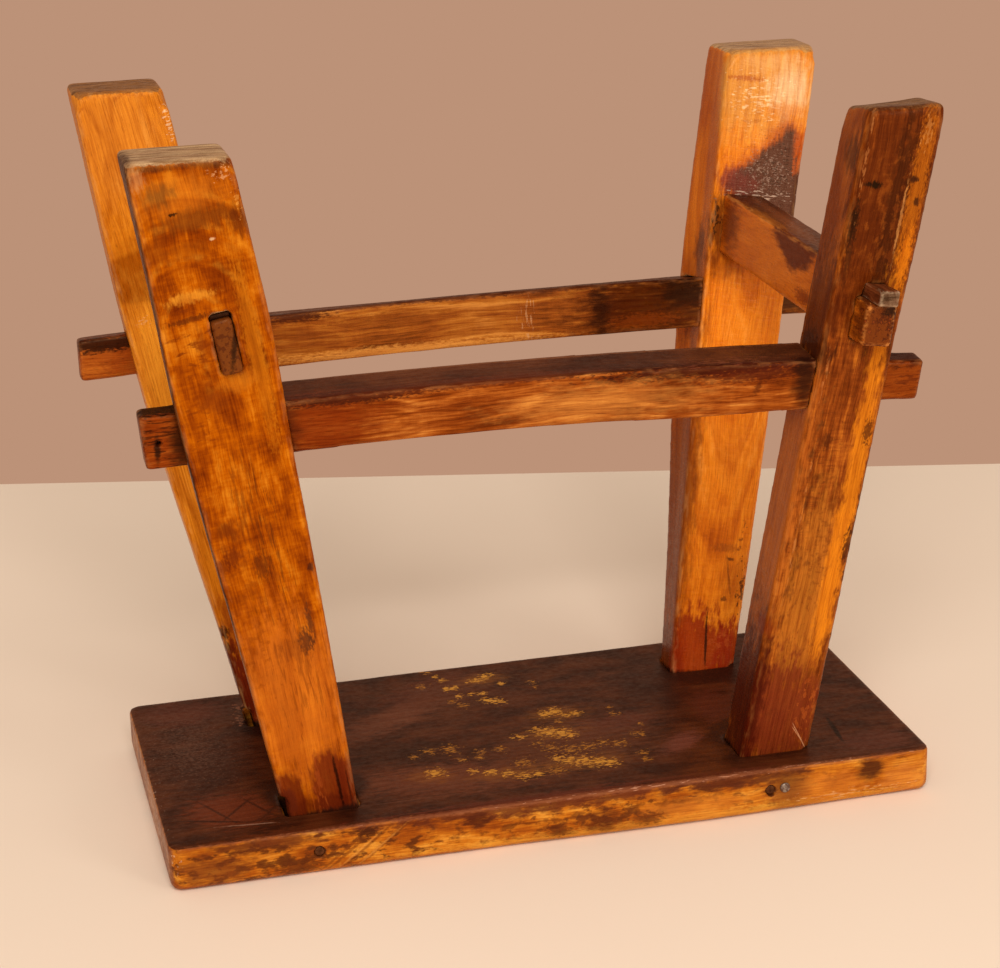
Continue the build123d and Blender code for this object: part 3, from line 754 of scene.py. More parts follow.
@dataclass
class WornPiece:
    """One piece of the stool: a copy of its node, remeshed and worn.

    The voxel is the size of the mesh's faces. Joint is the number of smoothing passes that every
    arris gets, ease is how many more a free one gets, and nibble is how many more it gets in
    patches. A face is tight in a joint up to one distance from its neighbour, and free from
    another. Wobble is how far the planed faces stray from flat. A leg's arrises are worn round
    above the height of its foot, over a short fade.
    """

    node: str
    slot: str
    finish: Timber | Iron
    voxel: float = 1.0
    ease: int = 1
    joint: int = 1
    tight: float = 1.2
    free: float = 3.0
    wobble: float = 0.3
    wobble_scale: float = 22.0
    nibble: int = 5
    patch: float = 9.0
    foot: float | None = None
    foot_fade: float = 4.0
    foot_passes: int = 24
    swells: tuple[Swell, ...] = ()
    dents: tuple[Dent, ...] = ()

    def build(self, others: BVHTree) -> bpy.types.Object:
        """Copy the node and wear it.

        Args:
            others: the surfaces of the pieces that it is joined to.

        Returns:
            The finished piece, riding on the stool in the node's place.
        """
        piece = self.copied()
        self.remeshed(piece, others)
        self.swelled(piece)
        self.worn(piece)
        self.dented(piece)
        self.measured(piece)
        bpy.ops.object.shade_smooth()
        piece.data.materials.append(self.finish.material(self.node))
        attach(piece, "root")
        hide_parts(self.node)
        log.info("%s: %d faces", piece.name, len(piece.data.polygons))
        return piece

    def copied(self) -> bpy.types.Object:
        """Copy the node's mesh and merge it.

        Returns:
            The copy, linked to the scene.
        """
        mesh = bpy.data.objects[self.node].data.copy()
        mesh.materials.clear()
        piece = bpy.data.objects.new(f"worn_{self.node}", mesh)
        bpy.context.scene.collection.objects.link(piece)
        select_only(piece)
        bpy.ops.object.mode_set(mode="EDIT")
        bpy.ops.mesh.select_all(action="SELECT")
        bpy.ops.mesh.remove_doubles(threshold=0.001 * MM)
        bpy.ops.mesh.normals_make_consistent(inside=False)
        bpy.ops.object.mode_set(mode="OBJECT")
        return piece

    def remeshed(self, piece: bpy.types.Object, others: BVHTree) -> None:
        """Give the piece even small faces, and round its arrises."""
        remesh = piece.modifiers.new("even", "REMESH")
        remesh.mode = "VOXEL"
        remesh.voxel_size = self.voxel * MM
        apply_modifiers(piece)
        places = self.places(piece)
        near = np.full(len(places), self.free)
        for index, vertex in enumerate(piece.data.vertices):
            gap = others.find_nearest(vertex.co, self.free * MM)[3]
            if gap is not None:
                near[index] = gap / MM
        free = np.clip((near - self.tight) / (self.free - self.tight), 0, 1)
        self.group(piece, "free", free)
        self.group(piece, "patches", free)
        rounds = [("joint", self.joint, ""), ("ease", self.ease, "free")]
        if self.foot is not None:
            self.group(piece, "foot", np.clip((places[:, 2] - self.foot) / self.foot_fade, 0, 1))
            rounds.append(("foot", self.foot_passes, "foot"))
        for name, passes, group in rounds:
            if passes:
                smooth = piece.modifiers.new(name, "SMOOTH")
                smooth.factor = 0.5
                smooth.iterations = passes
                smooth.vertex_group = group
        apply_modifiers(piece)

    def places(self, piece: bpy.types.Object) -> np.ndarray:
        """Read the piece's points in mm, one to a row."""
        places = np.empty(len(piece.data.vertices) * 3)
        piece.data.vertices.foreach_get("co", places)
        return places.reshape(-1, 3) / MM

    def group(self, piece: bpy.types.Object, name: str, weights: np.ndarray) -> None:
        """Make a vertex group from a weight for each point, in small steps."""
        finest = 30
        group = piece.vertex_groups.new(name=name)
        steps = np.round(weights * finest).astype(int)
        for step in range(1, finest + 1):
            members = np.flatnonzero(steps == step).tolist()
            if members:
                group.add(members, step / finest, "REPLACE")

    def swelled(self, piece: bpy.types.Object) -> None:
        """Push each swell out along its axis."""
        for number, swell in enumerate(self.swells):
            name = f"swell_{number}"
            self.group(piece, name, swell.weights(self.places(piece), self.finish.grain))
            axis = max(range(3), key=lambda index: abs(swell.push[index]))
            displace = piece.modifiers.new(name, "DISPLACE")
            displace.direction = "XYZ"[axis]
            displace.space = "LOCAL"
            displace.strength = swell.push[axis] * MM
            displace.mid_level = 0.0
            displace.vertex_group = name
            apply_modifiers(piece)

    def worn(self, piece: bpy.types.Object) -> None:
        """Wear the arrises in patches, and let the faces wander from flat."""
        free = piece.vertex_groups["patches"]
        texture = bpy.data.textures.new(f"{self.node}_patches", "CLOUDS")
        texture.noise_scale = self.patch * MM
        texture.noise_depth = 2
        texture.contrast = 3.5
        weight = piece.modifiers.new("patches", "VERTEX_WEIGHT_EDIT")
        weight.vertex_group = free.name
        weight.mask_texture = texture
        weight.mask_tex_mapping = "LOCAL"
        weight.mask_tex_use_channel = "INT"
        nibble = piece.modifiers.new("nibble", "SMOOTH")
        nibble.vertex_group = free.name
        nibble.factor = 0.5
        nibble.iterations = self.nibble
        waves = bpy.data.textures.new(f"{self.node}_waves", "CLOUDS")
        waves.noise_scale = self.wobble_scale * MM
        waves.noise_depth = 1
        displace = piece.modifiers.new("waves", "DISPLACE")
        displace.texture = waves
        displace.texture_coords = "LOCAL"
        displace.strength = self.wobble * MM
        displace.mid_level = 0.55
        displace.vertex_group = "free"
        apply_modifiers(piece)

    def dented(self, piece: bpy.types.Object) -> None:
        """Push each dent in, with the faces about it following smoothly."""
        for dent in self.dents:
            away = np.linalg.norm(self.places(piece) - np.array(dent.place), axis=1)
            select_only(piece)
            bpy.ops.object.mode_set(mode="EDIT")
            bpy.ops.mesh.select_all(action="DESELECT")
            bpy.ops.object.mode_set(mode="OBJECT")
            piece.data.vertices[int(away.argmin())].select = True
            bpy.ops.object.mode_set(mode="EDIT")
            bpy.ops.transform.translate(
                value=tuple(step * MM for step in dent.push),
                use_proportional_edit=True,
                proportional_edit_falloff="SMOOTH",
                proportional_size=dent.reach * MM,
            )
            bpy.ops.object.mode_set(mode="OBJECT")

    def measured(self, piece: bpy.types.Object) -> None:
        """Keep the piece in the CAD's box, and store how far each point stands out as an arris."""
        mesh = piece.data
        count = len(mesh.vertices)
        low, high = (np.array(corner) for corner in BOX)
        places = np.clip(self.places(piece), low, high) * MM
        mesh.vertices.foreach_set("co", places.ravel())
        mesh.update()
        normals = np.empty(count * 3)
        mesh.vertex_normals.foreach_get("vector", normals)
        normals = normals.reshape(-1, 3)
        ends = np.empty(len(mesh.edges) * 2, dtype=np.int64)
        mesh.edges.foreach_get("vertices", ends)
        ends = ends.reshape(-1, 2)
        pairs = np.concatenate([ends, ends[:, ::-1]])
        degree = np.bincount(pairs[:, 0], minlength=count)

        def around(values: np.ndarray) -> np.ndarray:
            """Average a value over each point's neighbours."""
            return np.bincount(pairs[:, 0], weights=values[pairs[:, 1]], minlength=count) / degree

        sharp = 0.35 * self.voxel * MM
        middle = places
        for _ in range(4):
            middle = np.stack([around(middle[:, axis]) for axis in range(3)], axis=1)
        ridge = ((places - middle) * normals).sum(axis=1) / sharp
        for _ in range(2):
            ridge = around(ridge)
        attribute = mesh.attributes.new("arris", "FLOAT", "POINT")
        attribute.data.foreach_set("value", ridge.astype(np.float32))


@dataclass
class Studio:
    """The floor, the soft lamps and the camera."""

    floor_size: float = 6000.0
    floor_back: float = 424.0
    wall_colour: str = "BC9278"
    floor_colour: str = "F8E0C6"
    room_colour: str = "EADCD0"
    room_strength: float = 0.6
    aim: Point = (0.0, 0.0, 150.0)
    camera_place: Point = (-254.9, -1002.1, 491.9)
    camera_turn: Point = (71.12, 1.244, -14.366)
    camera_lens: float = 88.88
    sensor: float = 36.0

    def build(self) -> None:
        """Set up the floor, the lamps, the room's light and the camera."""
        self.floor()
        self.lamp("key", place=(-470, -2000, 1750), width=1300, power=48)
        self.lamp("window", place=(760, -1340, 470), width=420, power=5)
        self.room()
        self.camera()

    def floor(self) -> None:
        """Lay the pale floor, which ends a little way behind the stool."""
        bpy.ops.object.select_all(action="DESELECT")
        turn = (0, 0, math.radians(self.camera_turn[2]))
        way = Vector((0, self.floor_back - self.floor_size / 2, 0))
        way.rotate(Euler(turn))
        bpy.ops.mesh.primitive_plane_add(size=self.floor_size * MM, location=way * MM, rotation=turn)
        floor = bpy.context.object
        floor.name = "floor"
        material = bpy.data.materials.new("matt_paper")
        material.use_nodes = True
        shader = material.node_tree.nodes["Principled BSDF"]
        shader.inputs["Base Color"].default_value = linear(self.floor_colour)
        shader.inputs["Roughness"].default_value = 0.9
        floor.data.materials.append(material)

    def lamp(self, name: str, place: Point, width: float, power: float) -> None:
        """Hang a square lamp that points at the stool's middle, with its power in watts."""
        data = bpy.data.lights.new(name, "AREA")
        data.energy = power
        data.size = width * MM
        lamp = bpy.data.objects.new(name, data)
        lamp.location = Vector(place) * MM
        aim = Vector(self.aim) * MM - lamp.location
        lamp.rotation_euler = aim.to_track_quat("-Z", "Y").to_euler()
        bpy.context.scene.collection.objects.link(lamp)

    def room(self) -> None:
        """Light the room evenly, with a plain wall in view behind the floor."""
        world = bpy.data.worlds.new("room")
        world.use_nodes = True
        tree = world.node_tree
        background = tree.nodes["Background"]
        background.inputs["Color"].default_value = linear(self.room_colour)
        background.inputs["Strength"].default_value = self.room_strength
        inputs = {"Color": linear(self.wall_colour), "Strength": 1.0}
        wall = add_node(tree, "ShaderNodeBackground", inputs).outputs[0]
        rays = add_node(tree, "ShaderNodeLightPath").outputs
        inputs = {0: rays["Is Camera Ray"], 1: rays["Is Glossy Ray"]}
        seen = add_node(tree, "ShaderNodeMath", inputs, operation="MAXIMUM").outputs[0]
        inputs = {0: seen, 1: rays["Is Transmission Ray"]}
        seen = add_node(tree, "ShaderNodeMath", inputs, operation="MAXIMUM").outputs[0]
        inputs = {0: seen, 1: background.outputs[0], 2: wall}
        both = add_node(tree, "ShaderNodeMixShader", inputs)
        tree.links.new(both.outputs[0], tree.nodes["World Output"].inputs["Surface"])
        bpy.context.scene.world = world

    def camera(self) -> None:
        """Stand the camera where the photograph was taken from."""
        data = bpy.data.cameras.new("camera")
        data.lens = self.camera_lens
        data.sensor_width = self.sensor
        data.sensor_fit = "HORIZONTAL"
        camera = bpy.data.objects.new("camera", data)
        camera.location = Vector(self.camera_place) * MM
        camera.rotation_euler = [math.radians(turn) for turn in self.camera_turn]
        bpy.context.scene.collection.objects.link(camera)
        bpy.context.scene.camera = camera
        bpy.context.scene.view_settings.view_transform = "Standard"


def seat_timber() -> Timber:
    """Give the seat's elm: orange at its edges, and nearly black with old smoke and oil below."""
    front, left, above = Side.FRONT, Side.LEFT, Side.ABOVE
    edge_marks = (
        Stain(front, (0, 10), (11, 170), "64300E", 0.7, fleck=(3.5, 7), sparse=0.44, soft=0.14),
        Stain(front, (-120, 9), (12, 58), "5A2A0E", 0.8, fleck=(3.5, 7), sparse=0.42, soft=0.12),
        Stain(front, (20, 9), (9, 26), "5A2A10", 0.8, fleck=(3, 5), sparse=0.42, soft=0.12),
        Stain(front, (60, 2.5), (3.2, 130), "DC9834", 0.6, 0.5, 1.2),
        Stain(front, (58, 8), (5, 22), "D07C26", 0.5, 0.5, 1.2),
        Stain(front, (120, 9), (6, 18), "D07A26", 0.6, 0.5, 1.2),
        Stain(front, (158, 8), (7, 12), "D07E30", 0.6, 0.5, 1.2),
        Stain(front, (-8, 20), (4.8, 80), "5E2816", 0.88, 0.4, 1.4),
        Stain(front, (78, 19), (5.0, 26), "562614", 0.88, 0.4, 1.4),
        Stain(front, (-128, 18), (3.6, 24), "5E2A12", 0.8, 0.5, 1.4),
        Stain(front, (-152, 9), (6.0, 14), "6E3414", 0.7, 0.5, 1.4),
        Stain(front, (-116, 5), (3.4, 9), "5A280E", 0.75, 0.4, 1.4),
        Stain(front, (-108, 11), (5.5, 6), "552610", 0.8, 0.4, 1.2),
        *[
            Stain(front, (across, 11), (0.7, 15), "70360F", 0.6, 0.5, 1.2, turn=-38)
            for across in (-95, -92, -86, -79)
        ],
        *[
            Stain(front, (across, 9), (0.5, 13), "D8903C", 0.5, 0.5, 1.2, turn=-38)
            for across in (-90, -82)
        ],
        Stain(front, (-86, 17), (2.4, 4.5), "3E1A0C", 0.85, 0.4, 1.4),
        Stain(front, (-38, 15.5), (3.6, 5), "4E2010", 0.85, 0.4, 1.4),
        Stain(front, (-3, 6), (3.0, 5), "602C0E", 0.8, 0.4, 1.4),
        Stain(front, (18, 8), (5.0, 8), "5E2A10", 0.7, 0.5, 1.4),
        Stain(front, (38, 6), (2.6, 6), "602C0E", 0.75, 0.4, 1.4),
        Stain(front, (93, 12), (9.5, 9.5), "5A2A10", 0.85, 0.7, 0.4),
        Stain(front, (102, 12.5), (9.0, 9.0), "643214", 0.75, 0.7, 0.4),
        Stain(front, (141, 14.5), (5.0, 6.0), "4E240E", 0.92, 0.4, 0.8),
        Stain(front, (130, 5), (3, 34), "E8B478", 0.45, fleck=(0.7, 5), sparse=0.50),
        Stain(left, (-20, 12), (7, 50), "E8C8A8", 0.4, fleck=(2, 2), sparse=0.46),
    )
    patches = (
        Stain(above, (-140, -47), (15, 18), "6E2E14", 0.8, 0.4, 1.2, turn=20),
        Stain(above, (-146, 60), (14, 18), "5C2A1A", 0.7, 0.5, 1.2),
        Stain(above, (-52, 26), (9, 34), "744028", 0.7, 0.6, 1.2, turn=-32),
        Stain(above, (-30, 52), (12, 22), "602C1C", 0.6, 0.6, 1.2, turn=-32),
        Stain(above, (-58, -12), (10, 20), "2C140A", 0.7, 0.5, 1.2, turn=10),
        Stain(above, (-45, -44), (14, 40), "6E3820", 0.75, 0.5, 1.2, turn=8),
        Stain(above, (-50, -39), (6, 9), "8A4C18", 0.6, 0.8, 1.6),
        Stain(above, (36, -12), (9, 26), "62301F", 0.7, 0.5, 1.2, turn=-14),
        Stain(above, (66, -38), (6, 12), "764030", 0.7, 0.5, 1.2, turn=-40),
        Stain(above, (16, -28), (24, 34), "5E3018", 0.7, 0.5, 1.2),
        Stain(above, (94, -8), (20, 12), "5C2A1A", 0.7, 0.5, 1.2),
        Stain(above, (-22, 45), (20, 22), "5A2E18", 0.6, 0.5, 1.2),
        Stain(above, (150, -62), (10, 16), "5E3020", 0.7, 0.5, 1.2),
        Stain(above, (72, 30), (30, 16), "33180F", 0.6, 0.5, 1.2),
        Stain(above, (-142, 0), (26, 16), "33180F", 0.6, 0.5, 1.2),
        *[
            Stain(above, (across, -47), (0.7, 13), "3A180C", 0.8, 0.5, 0.8, turn=turn)
            for across, turn in ((-146, 62), (-137, 128), (-128, 62), (-119, 128))
        ],
        Stain(above, (-148, -56), (0.8, 16), "2A1008", 0.85, 0.4, 0.8, turn=18),
        Stain(above, (-134, -63), (0.5, 12), "9A7058", 0.7, 0.4, 1.0, turn=6),
        Stain(above, (-60, -60), (0.4, 26), "7A4A34", 0.4, 0.4, 1.4),
        Stain(above, (-150, 20), (40, 20), "7A5440", 0.35, fleck=(0.9, 1.4), sparse=0.44),
        # Partly wear and partly painted highlight: a light line and glints along the front arris.
        Stain(above, (30, -76.0), (1.2, 165), "A0603C", 0.4, 0.5, 1.2, depth=1.4),
        Stain(above, (60, -76), (1.2, 110), "D89C78", 0.55, depth=1.4, fleck=(0.7, 5), sparse=0.50),
    )
    glows = tuple(
        Stain(above, at, reach, "8A5018", 0.55, 0.8, 1.4)
        for at, reach in (
            ((20, 8), (6, 11)),
            ((13, -11), (6, 12)),
            ((18, -45), (6, 16)),
            ((-3, 57), (5, 10)),
            ((-16, -47), (5, 16)),
        )
    )
    flecks = (
        Spatter(
            above,
            (
                (-29, 77, 2), (-27, 73, 2), (-24, 67, 2), (-22, 62, 2), (-22, 51, 2.5), (-19, 51, 2.5),
                (-9, 56, 2), (-5, 57, 3), (-1, 60, 3), (2, 62, 2), (5, 50, 2), (-18, 41, 2), (-12, 41.5, 2),
                (-7, 41, 2), (-7, 33, 3), (-4, 31, 3.5), (0, 29, 2), (15, 10, 3.5), (20, 11, 4), (24, 6, 2.5),
                (29, 6, 2.5), (7, -6, 3), (11, -10, 5), (17, -13, 5), (21, -16, 3), (-3, -11, 2.5),
                (-31, -40, 2.5), (-24, -43, 3), (-17, -47, 3), (-11, -51, 3.5), (-5, -51, 2.5),
                (12, -41, 4), (18, -44, 5), (24, -47, 5), (29, -49, 4), (8, -38, 3), (-48, -37, 4),
            ),
            "D6922E",
            0.92,
            (1.1, 2.6),
            0.39,
        ),
        Spatter(
            above,
            (
                (-33, 57, 4), (-23, 36, 3), (-19, 30, 3.5), (19, 47, 3), (19, 41, 2), (19, 0, 2.5),
                (46, 8, 2), (46, 1, 3), (4, -20, 3), (-23, -21, 3), (-14, -21, 3.5), (-33, -27, 3),
                (-25, -27, 3), (8, -26, 5), (16, -31, 6), (24, -30, 5), (32, -28, 4), (39, -31, 4),
                (50, -24, 4), (-36, -15, 5), (-45, -14, 4), (-53, -18, 3), (46, -43, 3), (46, -50, 3),
                (-8, -38, 5), (4, -50, 5), (54, -14, 2),
            ),
            "B87620",
            0.85,
            (1.0, 2.4),
            0.44,
        ),
    )
    holes = (
        # The first four are painted shade: the mortise walls and the gaps about the legs are painted nearly
        # black.
        Stain(above, (103, -48), (18, 23), "2A120A", 0.9, 0.12, 0.25, depth=17, sunk=True),
        Stain(above, (-101, -48), (18, 23), "2A120A", 0.9, 0.12, 0.25, depth=17, sunk=True),
        Stain(above, (103, 48), (18, 23), "2A120A", 0.9, 0.12, 0.25, depth=17, sunk=True),
        Stain(above, (-101, 48), (18, 23), "1E0A06", 0.9, 0.12, 0.25, depth=17, sunk=True),
        Stain(above, (-122, 44), (7, 3.4), "9A5E40", 0.6, fleck=(2.2, 2.2), sparse=0.42, soft=0.1, sunk=True),
        Stain(above, (-121, 59), (4, 3), "9A5E40", 0.6, fleck=(2.2, 2.2), sparse=0.40, soft=0.1, sunk=True),
    )
    crack = (Stain(above, (136.5, -45), (1.1, 13), "140804", 0.95, 0.4, 0.6, turn=-84),)
    return Timber(
        "oiled_elm_plank",
        Grain((0, 0, 10), (100, 0, 10)),
        ("843C0C", "A8560F", "C6741A", "DC9434"),
        rings=Rings(4.5, (30.0, 60.0, 0.0), 0.05, 0.05, 0.3, "B07840"),
        cloud=11.0,
        cloud_share=1.2,
        streak=(2.2, 30.0),
        fibre_share=0.3,
        pore_share=0.25,
        coats=(
            Coat((0, 0, 1), "2E130A", "4E2311", 0.98, 0.62, 0.8),
            Coat((-1, 0, 0), "7C4226", "AC7450", 0.8, 0.6, 0.85),
        ),
        stains=edge_marks + patches + glows + crack + holes,
        spatters=flecks,
        arris="8E5030",
        arris_share=0.2,
        rough=(0.3, 0.55),
        gloss=0.15,
        relief=0.16,
    )


def front_left_leg() -> Timber:
    """Give the front left leg's elm: amber, with dark arches of figure and a long wear-dark end."""
    front, left, above = Side.FRONT, Side.LEFT, Side.ABOVE
    cut_end = (
        Stain(front, (-160, 309.4), (9, 1.2), "4A2812", 0.7, 0.7, 0.9, turn=9.6, depth=9),
        Stain(front, (-146, 310.2), (8, 0.8), "5A3016", 0.6, 0.7, 0.9, turn=9.6, depth=9),
        Stain(front, (-136, 309.6), (9, 1.2), "4A2812", 0.7, 0.7, 0.9, turn=9.6, depth=9),
        Stain(above, (-170, -84), (3.5, 12), "3E2210", 0.85, 0.6, 0.9, depth=9),
    )
    glows = (
        Stain(front, (-112, 75), (20, 42), "D0701C", 0.7, 0.5, 0.8),
        Stain(front, (-150, 299), (17, 8), "C87018", 0.55, 0.6, 1.0),
    )
    bands = (
        Stain(front, (-143, 289), (17, 3.6), "7A3C0A", 0.75, 0.5, 1.6),
        Stain(front, (-128, 286.5), (4.5, 5), "6A2C06", 0.8, 0.5, 1.4),
        Stain(front, (-160, 277), (5, 5), "843C06", 0.6, 0.5, 1.6),
        Stain(front, (-148, 277), (7, 3), "8E4406", 0.5, 0.5, 1.6),
        Stain(front, (-148, 258), (8, 2.2), "DE9028", 0.6, 0.5, 1.2),
        Stain(front, (-148.5, 249), (8.5, 1.1), "5E2606", 0.8, 0.5, 1.4, turn=-4),
        Stain(front, (-158, 299), (5.0, 4.0), "6E4216", 0.7, 0.7, 1.6),
    )
    glints_and_scuffs = (
        Stain(front, (-166, 306), (2.6, 4), "C88A50", 0.6, 0.7, 1.4),
        Stain(front, (-134, 306), (5.5, 3.0), "DCA068", 0.65, fleck=(1.8, 1.3), sparse=0.46),
        Stain(front, (-129, 296), (2, 8), "D8923C", 0.5, fleck=(1.4, 1.2), sparse=0.46),
    )
    nicks = (
        Stain(front, (-153, 291.4), (1.7, 0.6), "241006", 0.9, 0.4, 1.2),
        Stain(front, (-138.6, 280.7), (1.0, 0.5), "F4D09C", 0.7, 0.6, 1.2),
    )
    figure = (
        Stain(front, (-149, 238), (10, 13), "7A3004", 0.8, fleck=(6, 2.2), sparse=0.44, soft=0.14),
        Stain(front, (-144, 210), (12, 16), "843804", 0.65, fleck=(5, 3), sparse=0.44, soft=0.14),
        Stain(front, (-143, 237), (4, 5), "7E3204", 0.6, 0.5, 1.4),
        Stain(front, (-140, 214), (6, 4), "863A06", 0.5, 0.5, 1.4),
        Stain(front, (-131, 222), (7, 4), "CC7818", 0.5, 0.5, 1.2),
        Stain(front, (-124, 235), (3, 40), "C4700E", 0.6, 0.5, 1.2),
    )
    knots = (
        Stain(front, (-149.5, 179), (1.2, 3.5), "42200C", 0.9, 0.4, 1.2),
        Stain(front, (-137, 158), (3.6, 4.2), "6E2A06", 0.75, 0.5, 1.6),
        Stain(front, (-141, 142), (3.6, 3.4), "6E2A08", 0.7, 0.5, 1.6),
        Stain(front, (-136, 146), (3.4, 4.2), "742E08", 0.65, 0.5, 1.6),
    )
    fibres = (
        Stain(front, (-121, 150), (6, 46), "5A280A", 0.6, fleck=(0.9, 14), sparse=0.45, soft=0.12),
        Stain(front, (-130, 165), (7, 30), "6E3008", 0.5, fleck=(1.1, 12), sparse=0.44, soft=0.12),
        Stain(front, (-108, 90), (14, 50), "7A3608", 0.5, fleck=(1.1, 16), sparse=0.44, soft=0.12),
        Stain(front, (-130, 130), (20, 50), "8A3E06", 0.45, fleck=(4, 4), sparse=0.44, soft=0.14),
    )
    bruises = (
        Stain(front, (-124, 140), (3.0, 5), "5E2A0A", 0.6, 0.5, 1.6),
        Stain(front, (-104.6, 138), (1.2, 1.8), "4A200E", 0.85, 0.4, 1.2),
        Stain(front, (-107, 104), (2.6, 5.0), "4A2816", 0.85, 0.5, 1.6),
        Stain(front, (-105.5, 113), (1.2, 7), "5A3018", 0.75, 0.5, 1.6),
        Stain(front, (-112, 100), (5, 6), "8A4210", 0.5, 0.5, 1.6),
    )
    dark_end = (
        Stain(front, (-98, 33), (8, 18), "6E240A", 0.9, 0.2, 0.5),
        Stain(front, (-89, 31), (6, 17), "6E240A", 0.9, 0.2, 0.5),
        Stain(front, (-116, 27), (7, 15), "6E240A", 0.88, 0.2, 0.5),
        Stain(front, (-104, 22), (18, 6), "5E1C08", 0.7, 0.4, 1.2),
        Stain(front, (-104, 30), (4, 16), "9A4416", 0.6, fleck=(1.2, 8), sparse=0.45),
    )
    splits = (
        Stain(front, (-95, 34), (0.7, 14), "240A04", 0.9, 0.5, 0.8),
        Stain(front, (-90.5, 32), (0.4, 9), "3A1206", 0.8, 0.5, 0.8),
    )
    # Painted shade in the gap where the leg meets the seat.
    gap = (
        Stain(front, (-117.5, 26), (4, 7), "5E200C", 0.95, 0.2, 0.6, depth=30, sunk=True),
        Stain(left, (-49, 7), (40, 14), "2A120A", 0.95, 0.1, 0.2, depth=60, sunk=True),
    )
    return Timber(
        "varnished_elm_arched",
        Grain((-101.6, -48.6, 24), (-149.6, -80.1, 309)),
        ("6E2600", "944000", "B45800", "CE7814"),
        rings=Rings(11.0, (-7.4, -14.5, 228.0), 0.85, 0.03, 0.35, "A8682E", 0.42, "D08420"),
        cloud=9.0,
        cloud_share=1.1,
        streak=(1.8, 46.0),
        streak_share=0.3,
        ring_tone=0.35,
        fibre_share=0.22,
        pore_share=0.22,
        # The left faces get a tone of their own: partly the wood's colour there, partly painted light and
        # shade for that side.
        coats=(Coat((-1, 0, 0), "3E1A06", "64300C", 0.92, 0.55, 0.8),),
        stains=cut_end + glows + bands + glints_and_scuffs + nicks + figure + knots + fibres + bruises
        + dark_end + splits + gap,
        ends=("86603C", "D0A878"),
        arris="D09058",
        arris_share=0.3,
        gloss=0.06,
        ripple=0.8,
        ripple_tone=0.3,
    )


